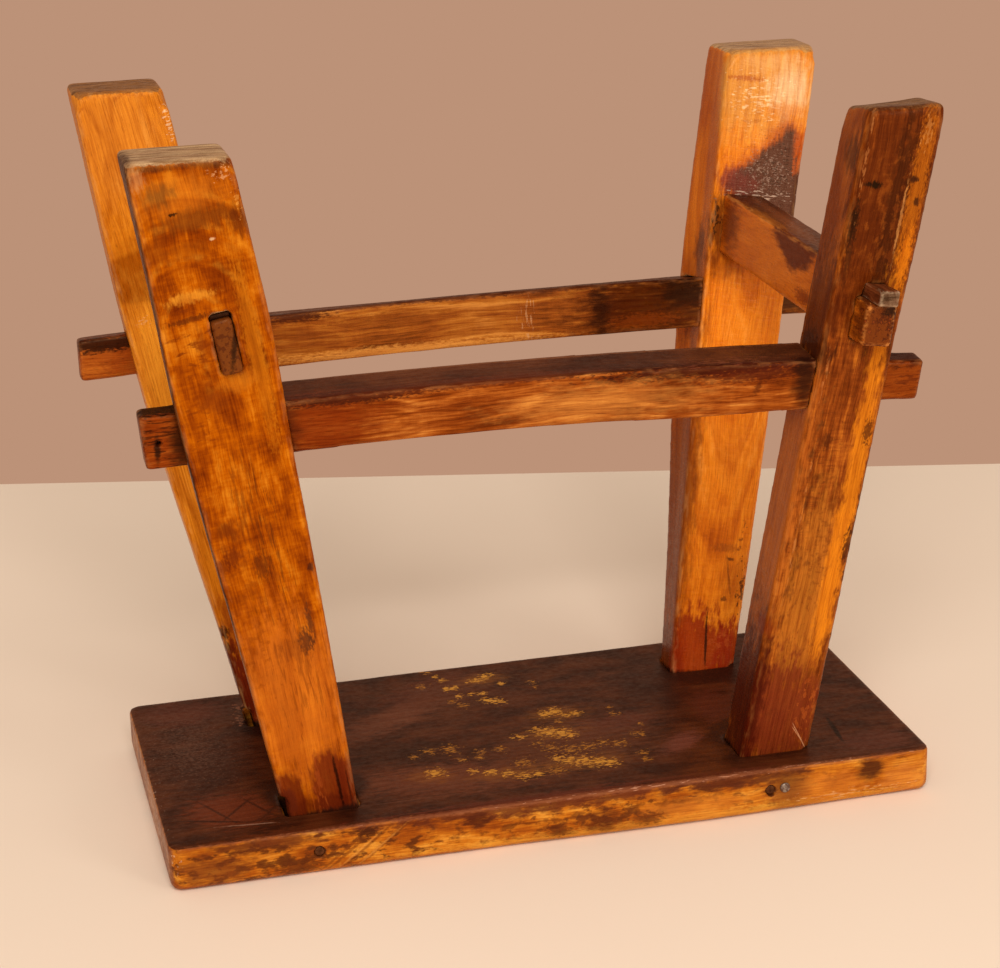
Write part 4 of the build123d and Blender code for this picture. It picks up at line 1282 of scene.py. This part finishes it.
def front_right_leg() -> Timber:
    """Give the front right leg's elm: dark brown at the foot, with worn amber and painted highlight along its
    right arris.
    """
    front, left = Side.FRONT, Side.LEFT
    dark_foot = (
        Stain(front, (137, 272), (20, 62), "541E04", 0.75, 0.5, 1.2),
        Stain(front, (141, 268), (4.5, 44), "3A1604", 0.7, 0.5, 1.6),
        Stain(front, (136, 262), (12, 44), "8A4410", 0.55, fleck=(3, 5), sparse=0.46, soft=0.14),
        Stain(front, (146, 268), (8, 44), "6E300A", 0.6, fleck=(4, 6), sparse=0.45, soft=0.12),
    )
    holes = (
        Stain(front, (131.8, 280), (2.6, 1.5), "120802", 0.95, 0.5, 1.4),
        Stain(front, (129, 280.4), (2.2, 0.8), "1E0C04", 0.8, 0.5, 1.4),
        Stain(front, (123.4, 264), (1.7, 9), "1C0C04", 0.88, 0.6, 1.6),
        Stain(front, (122, 250), (1.4, 10), "3A1A08", 0.7, 0.6, 1.6),
    )
    pale_foot = (
        Stain(front, (127, 290), (1.0, 24), "B47038", 0.5, fleck=(0.7, 4), sparse=0.46),
        Stain(front, (150, 275), (3.4, 38), "B4600E", 0.7, 0.5, 1.4),
        Stain(front, (143.8, 264), (0.5, 15), "D0904C", 0.5, 0.6, 1.6),
        Stain(front, (153, 300), (2.4, 8), "C07C38", 0.6, fleck=(1.4, 3), sparse=0.44),
    )
    spots = (
        Stain(front, (148.6, 281), (1.8, 1.4), "32140A", 0.9, 0.4, 1.4),
        Stain(front, (150.4, 271.5), (1.3, 1.8), "32140A", 0.85, 0.4, 1.4),
        Stain(front, (147, 247), (2.4, 12), "D8760E", 0.7, 0.5, 1.4),
        Stain(front, (126, 224), (3.6, 18), "2E1004", 0.75, 0.6, 1.4),
        Stain(front, (118, 169), (1.8, 3.4), "4E2008", 0.8, 0.5, 1.6),
        Stain(front, (115.4, 153), (2.4, 1.6), "522408", 0.75, 0.5, 1.6),
        Stain(front, (107, 114), (2.2, 4.0), "461C0A", 0.8, 0.5, 1.6),
    )
    fibres = (
        Stain(front, (112, 140), (14, 60), "5E2808", 0.55, fleck=(6, 1.0), sparse=0.46, soft=0.1),
        Stain(front, (110, 140), (10, 60), "6A2E08", 0.55, fleck=(1.2, 9), sparse=0.45),
    )
    pale_wood_and_highlights = (
        Stain(front, (112, 90), (13, 50), "CC7A24", 0.55, 0.6, 1.4),
        Stain(front, (115, 197), (1.2, 16), "C47C40", 0.5, fleck=(0.8, 4), sparse=0.45),
        Stain(front, (106, 122), (1.0, 40), "C88040", 0.5, fleck=(0.8, 6), sparse=0.46),
        # Partly painted highlight: this light strip and the next run along the right arris.
        Stain(front, (131, 150), (4.0, 80), "DE8014", 0.75, 0.5, 1.4),
        Stain(front, (122, 95), (3.6, 34), "DA7C14", 0.7, 0.5, 1.4),
    )
    dark_end = (
        Stain(front, (103, 40), (26, 26), "742A12", 0.88, 0.4, 1.4),
        Stain(front, (116, 44), (7, 18), "A8501C", 0.6, fleck=(3, 4), sparse=0.48),
    )
    scratches = (
        Stain(front, (113.5, 27), (0.26, 7.5), "D89A6C", 0.75, 0.4, 0.3, turn=-34),
        Stain(front, (112, 29), (0.22, 4), "D09060", 0.7, 0.4, 0.3, turn=-40),
    )
    chips = (
        Stain(front, (132.4, 122), (3.0, 70), "4A1E08", 0.88, fleck=(2.4, 4), sparse=0.50, soft=0.07),
        Stain(front, (130.4, 119), (2.0, 8), "42180A", 0.85, 0.5, 2.0),
        Stain(front, (136, 172), (1.8, 5), "4A1C0A", 0.8, 0.5, 2.0),
    )
    mottle = (
        Stain(front, (111, 160), (5, 44), "5E3212", 0.65, fleck=(4, 8), sparse=0.44, soft=0.14),
        Stain(front, (107, 105), (7, 34), "6E3812", 0.6, fleck=(4, 8), sparse=0.45, soft=0.14),
        Stain(front, (118, 120), (6, 50), "7E4010", 0.5, fleck=(3, 2), sparse=0.46, soft=0.12),
    )
    left_side = (
        Stain(left, (-60, 150), (18, 60), "B8621E", 0.8, 0.5, 1.2),
        Stain(left, (-78, 291), (6, 7), "442008", 0.65, 0.6, 1.4),
        Stain(left, (-70, 228), (16, 26), "501A04", 0.75, 0.5, 1.2),
        Stain(left, (-70, 210), (14, 7), "340E04", 0.8, 0.5, 1.2),
        Stain(left, (-54, 46), (26, 38), "480F04", 0.88, 0.4, 1.2),
        Stain(left, (-62, 84), (6, 4), "7E2A08", 0.7, 0.5, 1.4),
    )
    # Painted shade in the gap where the leg meets the seat.
    gap = (Stain(left, (-46, 7), (40, 14), "2A120A", 0.95, 0.1, 0.2, depth=60, sunk=True),)
    return Timber(
        "varnished_elm_streaked",
        Grain((102.8, -48.6, 24), (142.8, -75.5, 309)),
        ("4E1C02", "743208", "904410", "C06A1C"),
        rings=Rings(3.2, (30.0, 20.0, 0.0), 0.03, 0.03, 0.25),
        cloud=16.0,
        cloud_share=0.9,
        streak=(2.2, 40.0),
        streak_share=0.5,
        ring_tone=0.2,
        fibre_share=0.4,
        # The left faces get a tone of their own: partly the wood's colour there, partly painted light and
        # shade for that side.
        coats=(Coat((-1, 0, 0), "8A3C08", "B85E14", 0.88, 0.55, 0.8),),
        stains=dark_foot + holes + pale_foot + spots + fibres + pale_wood_and_highlights + dark_end + scratches
        + chips + mottle + left_side + gap,
        ends=("5A3A20", "94683C"),
        arris="B87438",
        arris_share=0.3,
        gloss=0.09,
        ripple=1.0,
        ripple_tone=0.3,
    )


def back_left_leg() -> Timber:
    """Give the back left leg's elm: the palest and straightest in grain, with a band of painted shade and a
    few painted glints.
    """
    front, left = Side.FRONT, Side.LEFT
    painted_shade_and_tones = (
        Stain(front, (-158, 290), (24, 26), "D07A2A", 0.45, 0.5, 0.8),
        # Painted shade: a darker band across the face at the end rail's height.
        Stain(front, (-147, 232.5), (26, 11.8), "A85204", 0.85, 0.12, 0.15),
        Stain(front, (-134, 190), (26, 40), "F6A430", 0.6, 0.6, 0.8),
    )
    # Painted glints: pale flecks where the varnish catches the light, at the foot and under the shade band.
    glints_and_scuffs = (
        Stain(front, (-134.5, 297), (2.2, 12), "F8D0A0", 0.65, fleck=(3.0, 0.8), sparse=0.46),
        Stain(front, (-152, 212), (5, 2.4), "F0B880", 0.4, fleck=(2.0, 1.0), sparse=0.48),
    )
    dark_end = (
        Stain(front, (-108, 36), (24, 27), "7C1E06", 0.92, 0.25, 1.0),
        Stain(front, (-127, 66), (2.4, 3.0), "240E04", 0.92, 0.4, 1.4),
        Stain(front, (-124.5, 59), (2.2, 2.6), "300E04", 0.88, 0.4, 1.4),
        Stain(front, (-122, 70), (6, 14), "9A3C0C", 0.6, 0.5, 1.4),
        Stain(front, (-119, 40), (3, 12), "A84818", 0.5, fleck=(2, 3), sparse=0.44, soft=0.1),
    )
    left_side = (
        Stain(left, (48, 34), (24, 28), "6A1E08", 0.9, 0.3, 0.8),
        # Painted shade in the gap where the leg meets the seat.
        Stain(left, (46, 7), (40, 15), "1E0A06", 0.95, 0.1, 0.2, depth=60, sunk=True),
    )
    return Timber(
        "varnished_elm_straight",
        Grain((-101.7, 48.7, 24), (-154.8, 79.6, 309)),
        ("B2580A", "D27612", "E2861C", "F29E3A"),
        rings=Rings(1.7, (-10.0, 60.0, 0.0), 0.02, 0.02, 0.35),
        cloud=30.0,
        cloud_share=0.7,
        streak=(1.6, 80.0),
        fibre=(0.6, 24.0),
        fibre_share=0.35,
        wander=1.6,
        # The left faces get a tone of their own: partly the wood's colour there, partly painted light and
        # shade for that side.
        coats=(Coat((-1, 0, 0), "D07C14", "EC9428", 0.6, 0.6, 0.85),),
        stains=painted_shade_and_tones + glints_and_scuffs + dark_end + left_side,
        ends=("5E3818", "A87038"),
        arris="F0B870",
        arris_share=0.3,
        gloss=0.08,
        ripple=0.8,
    )


def back_right_leg() -> Timber:
    """Give the back right leg's elm: glossy orange with painted glare near the foot, a dark crackled patch
    with painted glints above the end rail, and a painted shadow beside that rail.
    """
    front, left = Side.FRONT, Side.LEFT
    # Painted glare: pale highlight patches and glints on the glossy end near the foot, which also gets a
    # lower roughness.
    painted_glare = (
        Stain(front, (135, 298), (34, 24), "D8923E", 0.75, 0.6, 0.8, rough=0.2),
        Stain(front, (152, 293), (9, 9), "FFD8A4", 0.55, 0.9, 1.4, rough=0.2),
        Stain(front, (146, 305), (16, 4), "E8A860", 0.5, 0.8, 1.4, rough=0.2),
        Stain(front, (137, 290), (18, 14), "FFDCA4", 0.6, fleck=(3, 0.9), sparse=0.48, soft=0.1, rough=0.2),
        Stain(front, (132, 280), (16, 12), "C0702A", 0.5, fleck=(5, 1.6), sparse=0.48, soft=0.12),
        Stain(front, (131, 299.5), (7, 1.2), "B4561A", 0.75, 0.5, 1.6),
        Stain(front, (149, 284), (8, 3), "D87820", 0.5, 0.6, 1.4),
    )
    patch = (
        Stain(front, (148, 249), (35, 35), "B44814", 0.8, 0.2, 0.3, diamond=True),
        Stain(front, (125, 253), (9, 6), "8A3426", 0.85, 0.5, 0.8),
        Stain(front, (148, 248), (29, 31), "4C2E24", 0.94, 0.12, 0.22, diamond=True, rough=0.3),
        Stain(front, (127, 251), (8, 5), "742C22", 0.75, 0.5, 1.0),
        Stain(front, (157, 265), (3.6, 10), "C4540E", 0.9, 0.4, 1.2),
        # Painted glints: pale flecks over the real crackle, with a lower roughness there.
        Stain(
            front,
            (140, 254),
            (14, 16),
            "9A7C6A",
            0.7,
            fleck=(1.2, 0.8),
            sparse=0.48,
            soft=0.08,
            rough=0.2,
        ),
        Stain(front, (145, 257), (13, 17), "2A1610", 0.6, fleck=(1.3, 1.0), sparse=0.49),
        # Painted glints along the lower edge of the crackle.
        Stain(front, (134, 245), (13, 2.8), "C8AC94", 0.8, fleck=(4, 0.8), sparse=0.42, rough=0.2),
    )
    # Painted shadow: dark patches beside the end rail, where its shadow falls.
    painted_rail_shadow = (
        Stain(front, (116, 232), (5, 15), "5E280C", 0.85, 0.6, 1.2),
        Stain(front, (114, 236), (2.4, 8), "2E1408", 0.8, fleck=(1.6, 2.4), sparse=0.45),
        Stain(front, (120, 216), (12, 8), "8A3C0A", 0.6, 0.7, 1.2),
    )
    knots = (
        Stain(front, (117.6, 73.4), (1.5, 0.7), "3E1A06", 0.9, 0.5, 2.0, turn=10),
        Stain(front, (116, 79), (6, 2.0), "9A4A10", 0.6, 0.5, 1.6),
        Stain(front, (116.4, 64), (0.5, 9), "6A3008", 0.75, 0.5, 1.4, turn=-12),
        Stain(front, (113.6, 54), (1.4, 1.0), "5A2A0A", 0.8, 0.6, 2.0),
        Stain(front, (119, 62), (6, 14), "A8500C", 0.5, 0.7, 1.4),
    )
    low_arris = (
        Stain(left, (50, 26), (22, 16), "5E1E08", 0.85, 0.4, 0.8),
        Stain(front, (123, 60), (2.4, 14), "4E200A", 0.85, fleck=(1.8, 2.8), sparse=0.46, soft=0.08),
        Stain(front, (124, 84), (2.2, 12), "7A3A0C", 0.7, fleck=(1.8, 2.8), sparse=0.46, soft=0.08),
    )
    dark_end = (
        Stain(front, (97, 28), (20, 21), "96280A", 0.9, 0.25, 1.0),
        Stain(front, (117, 25), (10, 17), "96280A", 0.9, 0.25, 1.0),
        Stain(front, (112, 34), (8, 8), "B24A1A", 0.6, fleck=(3, 3), sparse=0.46),
        Stain(front, (104, 35), (0.6, 14), "2E0E06", 0.9, 0.5, 0.8, turn=-4),
    )
    left_side = (
        Stain(left, (68, 222), (4, 10), "42221C", 0.75, 0.5, 1.2),
        Stain(left, (56, 105), (20, 85), "82380E", 0.8, 0.5, 0.9),
        Stain(left, (60, 150), (4, 60), "A85822", 0.5, 0.6, 1.4),
        # Painted shade in the gap where the leg meets the seat.
        Stain(left, (46, 7), (40, 14), "2A120A", 0.95, 0.1, 0.2, depth=60, sunk=True),
    )
    return Timber(
        "varnished_elm_figured",
        Grain((102.8, 48.6, 24), (142.9, 80.6, 309)),
        ("B85206", "DE720E", "F0881A", "FFA03C"),
        rings=Rings(5.0, (0.0, -14.0, 240.0), 0.05, 0.11, 0.3, "B4763A"),
        cloud=26.0,
        cloud_share=0.7,
        streak_share=0.2,
        fibre_share=0.25,
        pore_share=0.25,
        wander=3.0,
        # The left faces get a tone of their own: partly the wood's colour there, partly painted light and
        # shade for that side.
        coats=(Coat((-1, 0, 0), "AE4E08", "CC6A14", 0.92, 0.6, 0.85),),
        stains=painted_glare + patch + painted_rail_shadow + knots + low_arris + dark_end + left_side,
        ends=("7A5634", "CCA06C"),
        arris="E8AC68",
        arris_share=0.35,
        rough=(0.2, 0.42),
        gloss=0.2,
        ripple=1.6,
        ripple_tone=0.15,
    )


# Dirt and oil with painted shade make the top of every rail dark, and their cut ends are brown.
RAIL_TOP_DIRT_AND_SHADE = Coat((0, 0, 1), "36160A", "5A2A14", 0.95, 0.55, 0.75)
RAIL_ENDS = ("4A2010", "8A4C22")


def front_rail() -> Timber:
    """Give the front rail's elm: brown-orange, with a dark upper arris with painted glints, stubs dark with
    handling, and painted shade where it meets the legs.
    """
    front, above = Side.FRONT, Side.ABOVE
    face = (
        Stain(front, (-98, 199), (14, 22), "7A2A04", 0.8, 0.6, 1.2),
        Stain(front, (-86, 209), (2.6, 30), "42160A", 0.9, 0.4, 1.4),
        Stain(front, (-30, 210), (1.8, 50), "5E240C", 0.8, 0.5, 1.4),
        Stain(front, (68, 206.5), (3.4, 46), "3E140A", 0.92, 0.4, 1.4),
        Stain(front, (84, 202.5), (3.4, 24), "4E180A", 0.8, 0.5, 1.5),
        # Painted glints in the dark band under the top arris.
        Stain(front, (72, 208), (1.6, 40), "8A4A30", 0.5, fleck=(0.6, 5), sparse=0.47),
        Stain(front, (20, 196), (8, 40), "D89040", 0.35, 0.6, 1.2),
        Stain(front, (86, 196), (3.0, 1.4), "5A2408", 0.8, 0.5, 1.4, turn=20),
    )
    shadows = (
        Stain(front, (107, 198), (16, 5), "240C06", 0.88, 0.7, 1.0),
        Stain(front, (-112, 198), (16, 5), "4A1A06", 0.7, 0.7, 1.0),
    )
    left_stub = (
        Stain(front, (-160, 199), (16, 14), "8A3604", 0.7, 0.5, 0.9),
        Stain(front, (-160, 200), (14, 13), "3A1204", 0.75, fleck=(1.4, 9), sparse=0.49),
        Stain(front, (-160, 210), (3.2, 14), "1A0804", 0.95, 0.3, 1.0),
        # Painted shadow where the stub leaves the leg.
        Stain(front, (-153, 198), (16, 4.5), "240C04", 0.85, 0.7, 1.0),
        Stain(front, (-163, 194), (5, 1.2), "1A0804", 0.9, 0.5, 0.8),
    )
    right_stub = (
        Stain(front, (152, 196), (16, 14), "843808", 0.8, 0.5, 0.9),
        Stain(front, (152, 206), (4.6, 16), "360F05", 0.92, 0.4, 1.2),
        Stain(front, (154, 192), (8, 10), "5A2008", 0.6, fleck=(1.6, 6), sparse=0.46),
    )
    top = (Stain(above, (0, -57.5), (0.9, 100), "8A5230", 0.6, 0.5, 1.4),)
    return Timber(
        "varnished_elm_rail",
        Grain((0, -65, 198), (100, -65, 198)),
        ("662804", "8A3E0A", "A8581A", "C87C32"),
        rings=Rings(2.4, (-3.0, 8.0, 0.0), 0.03, 0.03, 0.35),
        cloud=20.0,
        streak=(1.5, 26.0),
        streak_share=0.8,
        fibre=(0.7, 14.0),
        coats=(RAIL_TOP_DIRT_AND_SHADE,),
        stains=face + shadows + left_stub + right_stub + top,
        ends=RAIL_ENDS,
        arris="A86838",
        arris_share=0.4,
        gloss=0.09,
        ripple=0.6,
    )


def back_rail() -> Timber:
    """Give the back rail's elm: brown-orange, and nearly black beside the right leg."""
    front = Side.FRONT
    face = (
        Stain(front, (-36, 188.5), (2.4, 60), "E49A44", 0.7, 0.5, 1.2),
        Stain(front, (-84, 207.5), (1.8, 13), "46180A", 0.88, 0.5, 1.4),
        Stain(front, (0, 210.5), (1.4, 110), "4A1C08", 0.85, 0.5, 1.2),
        Stain(front, (-40, 203), (2.4, 26), "8A4610", 0.5, 0.5, 1.4),
    )
    dark_end = (
        Stain(front, (84, 198), (18, 36), "461602", 0.9, 0.5, 1.0),
        Stain(front, (57, 197), (14, 4), "2A0C02", 0.75, 0.7, 1.2),
        Stain(front, (78, 192), (3, 14), "8A3C0A", 0.6, 0.5, 1.4),
        Stain(front, (98, 204), (7, 12), "1E0A04", 0.8, 0.6, 1.2),
    )
    # Painted glare: pale flecks where the face catches the light.
    glints_and_scuffs = (Stain(front, (23, 197), (9, 4), "D09A68", 0.5, fleck=(6, 0.8), sparse=0.46),)
    left_stub = (
        Stain(front, (-172, 199), (16, 22), "A8480E", 0.6, 0.5, 0.9),
        Stain(front, (-172, 200), (14, 20), "4A1A08", 0.6, fleck=(1.3, 8), sparse=0.50),
        Stain(front, (-170, 215.6), (3.4, 22), "240C06", 0.92, 0.3, 1.0),
        Stain(front, (-166, 212), (4, 9), "D8A888", 0.5, fleck=(3.0, 0.5), sparse=0.45),
        Stain(front, (-176, 190), (3, 8), "C46A1E", 0.6, 0.5, 1.2),
    )
    right_stub = (
        Stain(front, (152, 198), (14, 12), "3A180A", 0.85, 0.5, 1.0),
        Stain(front, (148, 204), (6, 8), "C8A890", 0.8, fleck=(1.6, 1.6), sparse=0.42),
    )
    return Timber(
        "varnished_elm_back_rail",
        Grain((0, 66, 198), (100, 66, 198)),
        ("6C3208", "944A12", "AC621C", "C87E32"),
        rings=Rings(2.6, (2.0, 9.0, 0.0), 0.03, 0.03, 0.35),
        cloud=24.0,
        streak=(1.5, 40.0),
        streak_share=0.7,
        fibre=(0.7, 18.0),
        fibre_share=0.3,
        coats=(RAIL_TOP_DIRT_AND_SHADE,),
        stains=face + dark_end + glints_and_scuffs + left_stub + right_stub,
        ends=RAIL_ENDS,
        arris="A8683C",
        arris_share=0.4,
    )


def left_rail() -> Timber:
    """Give the left end rail's elm, whose grimy tenon shows in the front leg."""
    front = Side.FRONT
    tenon = (
        Stain(front, (-136, 237), (20, 20), "62300E", 0.92, 0.6, 0.6, depth=12, sunk=True),
        Stain(
            front,
            (-135, 238),
            (14, 14),
            "4A1C08",
            0.75,
            depth=12,
            fleck=(2.2, 1.6),
            sparse=0.48,
            sunk=True,
        ),
        Stain(front, (-131.6, 240), (1.2, 13), "200C04", 0.85, 0.5, 0.8, depth=12, turn=9, sunk=True),
    )
    return Timber(
        "varnished_elm_left_rail",
        Grain((-138, 0, 238), (-138, 100, 238)),
        ("7E3608", "A44E10", "B85E16", "CC7428"),
        rings=Rings(2.6, (20.0, 10.0, 0.0), 0.03, 0.03, 0.3),
        coats=(RAIL_TOP_DIRT_AND_SHADE,),
        stains=tenon,
        arris="A86030",
        arris_share=0.1,
    )


def right_rail() -> Timber:
    """Give the right end rail's elm: bright orange, with a dark patch by the front leg."""
    front, left, above = Side.FRONT, Side.LEFT, Side.ABOVE
    side = (
        Stain(left, (8, 236), (26, 30), "D8781C", 0.4, 0.7, 0.8),
        Stain(left, (-20, 242), (17, 30), "5A200E", 0.92, 0.2, 0.35, diamond=True),
        Stain(left, (50, 236), (14, 10), "622408", 0.8, 0.7, 1.0),
        Stain(left, (-37, 222), (3.0, 9), "7A2A06", 0.75, 0.5, 1.2),
    )
    tenon = (
        Stain(front, (135, 222), (20, 18), "5E280A", 0.92, 0.5, 0.9, depth=12),
        Stain(front, (135, 222), (14, 14), "3A1006", 0.8, depth=12, fleck=(3, 4), sparse=0.44, soft=0.1),
        Stain(front, (132, 221), (12, 9), "984414", 0.6, depth=12, fleck=(3, 4), sparse=0.50, soft=0.1),
        Stain(front, (139, 229), (4, 3.5), "1E0C06", 0.85, 0.5, 1.4),
    )
    top = (Stain(above, (131, 0), (3, 60), "8A4A24", 0.5, 0.6, 1.2),)
    return Timber(
        "varnished_elm_right_rail",
        Grain((130, 0, 230), (130, 100, 230)),
        ("B04C04", "C65E0C", "CE6812", "D8721C"),
        rings=Rings(2.6, (20.0, 10.0, 0.0), 0.03, 0.03, 0.15),
        cloud_share=0.8,
        streak_share=0.3,
        fibre_share=0.2,
        coats=(RAIL_TOP_DIRT_AND_SHADE,),
        stains=side + tenon + top,
        arris="E08C40",
        arris_share=0.6,
    )


def wedge_timber(name: str, tones: tuple[str, ...], ends: tuple[str, str], worn: float) -> Timber:
    """Give the wedges' elm: split, never varnished, dark with grime, with bare ends.

    Args:
        name: the material's name.
        tones: the colours of its sides, from dark to light.
        ends: the dark and the light colour of its ends.
        worn: how pale its arrises are worn.

    Returns:
        The finish.
    """
    return Timber(
        name,
        Grain((0, 0, 235), (0, 100, 235)),
        tones,
        cloud=9.0,
        streak=(1.2, 12.0),
        ends=ends,
        arris="E0BC94",
        arris_share=worn,
        rough=(0.4, 0.7),
    )


def peg_timber() -> Timber:
    """Give the pegs' elm: whittled, and dark at the end from dirt and wear."""
    return Timber(
        "whittled_elm_peg",
        Grain((0, 0, 10), (0, 100, 10)),
        ("341708", "4E2410", "6A3416", "8A4C22"),
        cloud=5.0,
        streak=(1.0, 8.0),
        ends=("2A140A", "56301A"),
        arris="7A4828",
        arris_share=0.3,
        rough=(0.35, 0.6),
    )


class Stool:
    """The whole stool: a seat, four legs, four rails, and the wedges, pegs and nail between them."""

    def shapes(self) -> dict[str, dict]:
        """Give the pieces the swells and dents of their own faces."""
        left, right, front, back = (-1, 0, 0), (1, 0, 0), (0, -1, 0), (0, 1, 0)
        up, down = (0, 0, 1), (0, 0, -1)
        chips = ((132, 119), (134, 131), (130, 106), (139, 171))
        return {
            "seat_plank": {
                "swells": (Swell((0, -2.5, 0), 60, 120, ((front, 70, 76), (down, -2, 8))),),
            },
            "leg_front_left": {
                "swells": (
                    Swell((-1.8, 0, 0), 178, 110, ((left, 10, 16),)),
                    Swell((1.3, 0, 0), 222, 65, ((right, 10, 17),)),
                    Swell((3.2, 0, 0), 110, 235, ((left, 6, 14), (back, -7, 5))),
                ),
                "dents": (
                    Dent((-117, -50, 20), 12, (-1.2, 0, 0)),
                    Dent((-129.5, -96, 310), 6, (-1.4, 0, -1.4)),
                ),
            },
            "leg_front_right": {
                "swells": (Swell((2.2, 0, 0), 285, 120, ((right, 8, 16),)),),
                "dents": (
                    *[Dent((across, -53, height), 5, (-1.3, 0, 0)) for across, height in chips],
                    Dent((144, -63, 312), 30, (0, 0, -2.4)),
                    Dent((126, -63, 312), 18, (0, 0, -1.4)),
                ),
            },
            "leg_back_left": {
                "swells": (Swell((-4.6, 0, 0), 165, 165, ((left, 5, 15),)),),
                "dents": (
                    Dent((-174, 64, 309), 8, (1.6, 0, -1.6)),
                    Dent((-135, 64, 310), 8, (-1.4, 0, -1.4)),
                ),
            },
            "leg_back_right": {
                "swells": (
                    Swell((-4.0, 0, 0), 168, 150, ((left, 8, 16), (back, 0, 10))),
                    Swell((1.6, 0, 0), 285, 60, ((right, 8, 17),)),
                ),
                "dents": (
                    Dent((163, 66, 311), 8, (-1.4, 0, -1.8)),
                    Dent((122, 66, 311), 7, (1.0, 0, -1.6)),
                ),
            },
            "rail_wedge_front_left": {"swells": (Swell((0, -1.6, 0), -90, 40, ()),)},
            "long_rail_front": {"swells": (Swell((0, 0, -1.0), 55, 60, ((down, 5, 11),)),)},
            "long_rail_back": {"swells": (Swell((0, 0, -3.0), 0, 400, ((up, 6, 11), (back, -6, 7))),)},
            "end_rail_left": {"swells": (Swell((0, -1.8, 0), -90, 30, ()),)},
        }

    def pieces(self) -> list[WornPiece]:
        """List the pieces with their finishes and shapes."""
        legs = {
            "front_left": front_left_leg(),
            "front_right": front_right_leg(),
            "back_left": back_left_leg(),
            "back_right": back_right_leg(),
        }
        rails = {
            "long_rail_front": front_rail(),
            "long_rail_back": back_rail(),
            "end_rail_left": left_rail(),
            "end_rail_right": right_rail(),
        }
        sooty = ("2A1006", "3E1A0A", "52260E", "6A3416")
        brown = ("42200E", "5E2E14", "7A3E1E", "96582E")
        grimy = wedge_timber("grimy_elm_wedge", sooty, ends=("1E0C06", "34180A"), worn=0.0)
        split = wedge_timber("split_elm_wedge", brown, ends=("46301E", "84644A"), worn=0.4)
        peg = peg_timber()
        small = {"voxel": 0.5, "wobble": 0.1, "ease": 2}
        rows = [("seat_plank", "seat_wood", seat_timber(), {"voxel": 1.25, "ease": 0, "nibble": 3})]
        for place, leg in legs.items():
            wedge = grimy if place.endswith("left") else split
            rows.append((f"leg_{place}", "leg_wood", leg, {"foot": 304.0}))
            rows.append((f"rail_wedge_{place}", "wedge_wood", wedge, small))
            rows.append((f"seat_wedge_{place}", "wedge_wood", split, small))
            rows.append((f"edge_peg_{place}", "peg_wood", peg, small))
        for rail, timber in rails.items():
            rows.append((rail, "rail_wood", timber, {"voxel": 0.85}))
        nail = {"voxel": 0.3, "wobble": 0.05, "ease": 2, "nibble": 2}
        rows.append(("edge_nail", "nail_iron", Iron(), nail))
        shapes = self.shapes()
        return [
            WornPiece(node, slot, finish, **sizes, **shapes.get(node, {}))
            for node, slot, finish, sizes in rows
        ]

    def surface(self, node: str) -> tuple[list[Vector], list[tuple[int, ...]]]:
        """Read the points and the faces of a node."""
        mesh = bpy.data.objects[node].data
        points = [vertex.co.copy() for vertex in mesh.vertices]
        return points, [tuple(face.vertices) for face in mesh.polygons]

    def build(self) -> None:
        """Build every piece, each with the others' surfaces about it."""
        pieces = self.pieces()
        surfaces = {piece.node: self.surface(piece.node) for piece in pieces}
        for piece in pieces:
            points, faces = [], []
            for node, (corners, sides) in surfaces.items():
                if node != piece.node:
                    faces.extend(tuple(corner + len(points) for corner in side) for side in sides)
                    points.extend(corners)
            piece.build(BVHTree.FromPolygons(points, faces))


def main() -> None:
    """Build the stool, the floor and the light."""
    logging.basicConfig(level=logging.INFO)
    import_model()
    Stool().build()
    Studio().build()


if __name__ == "__main__":
    main()
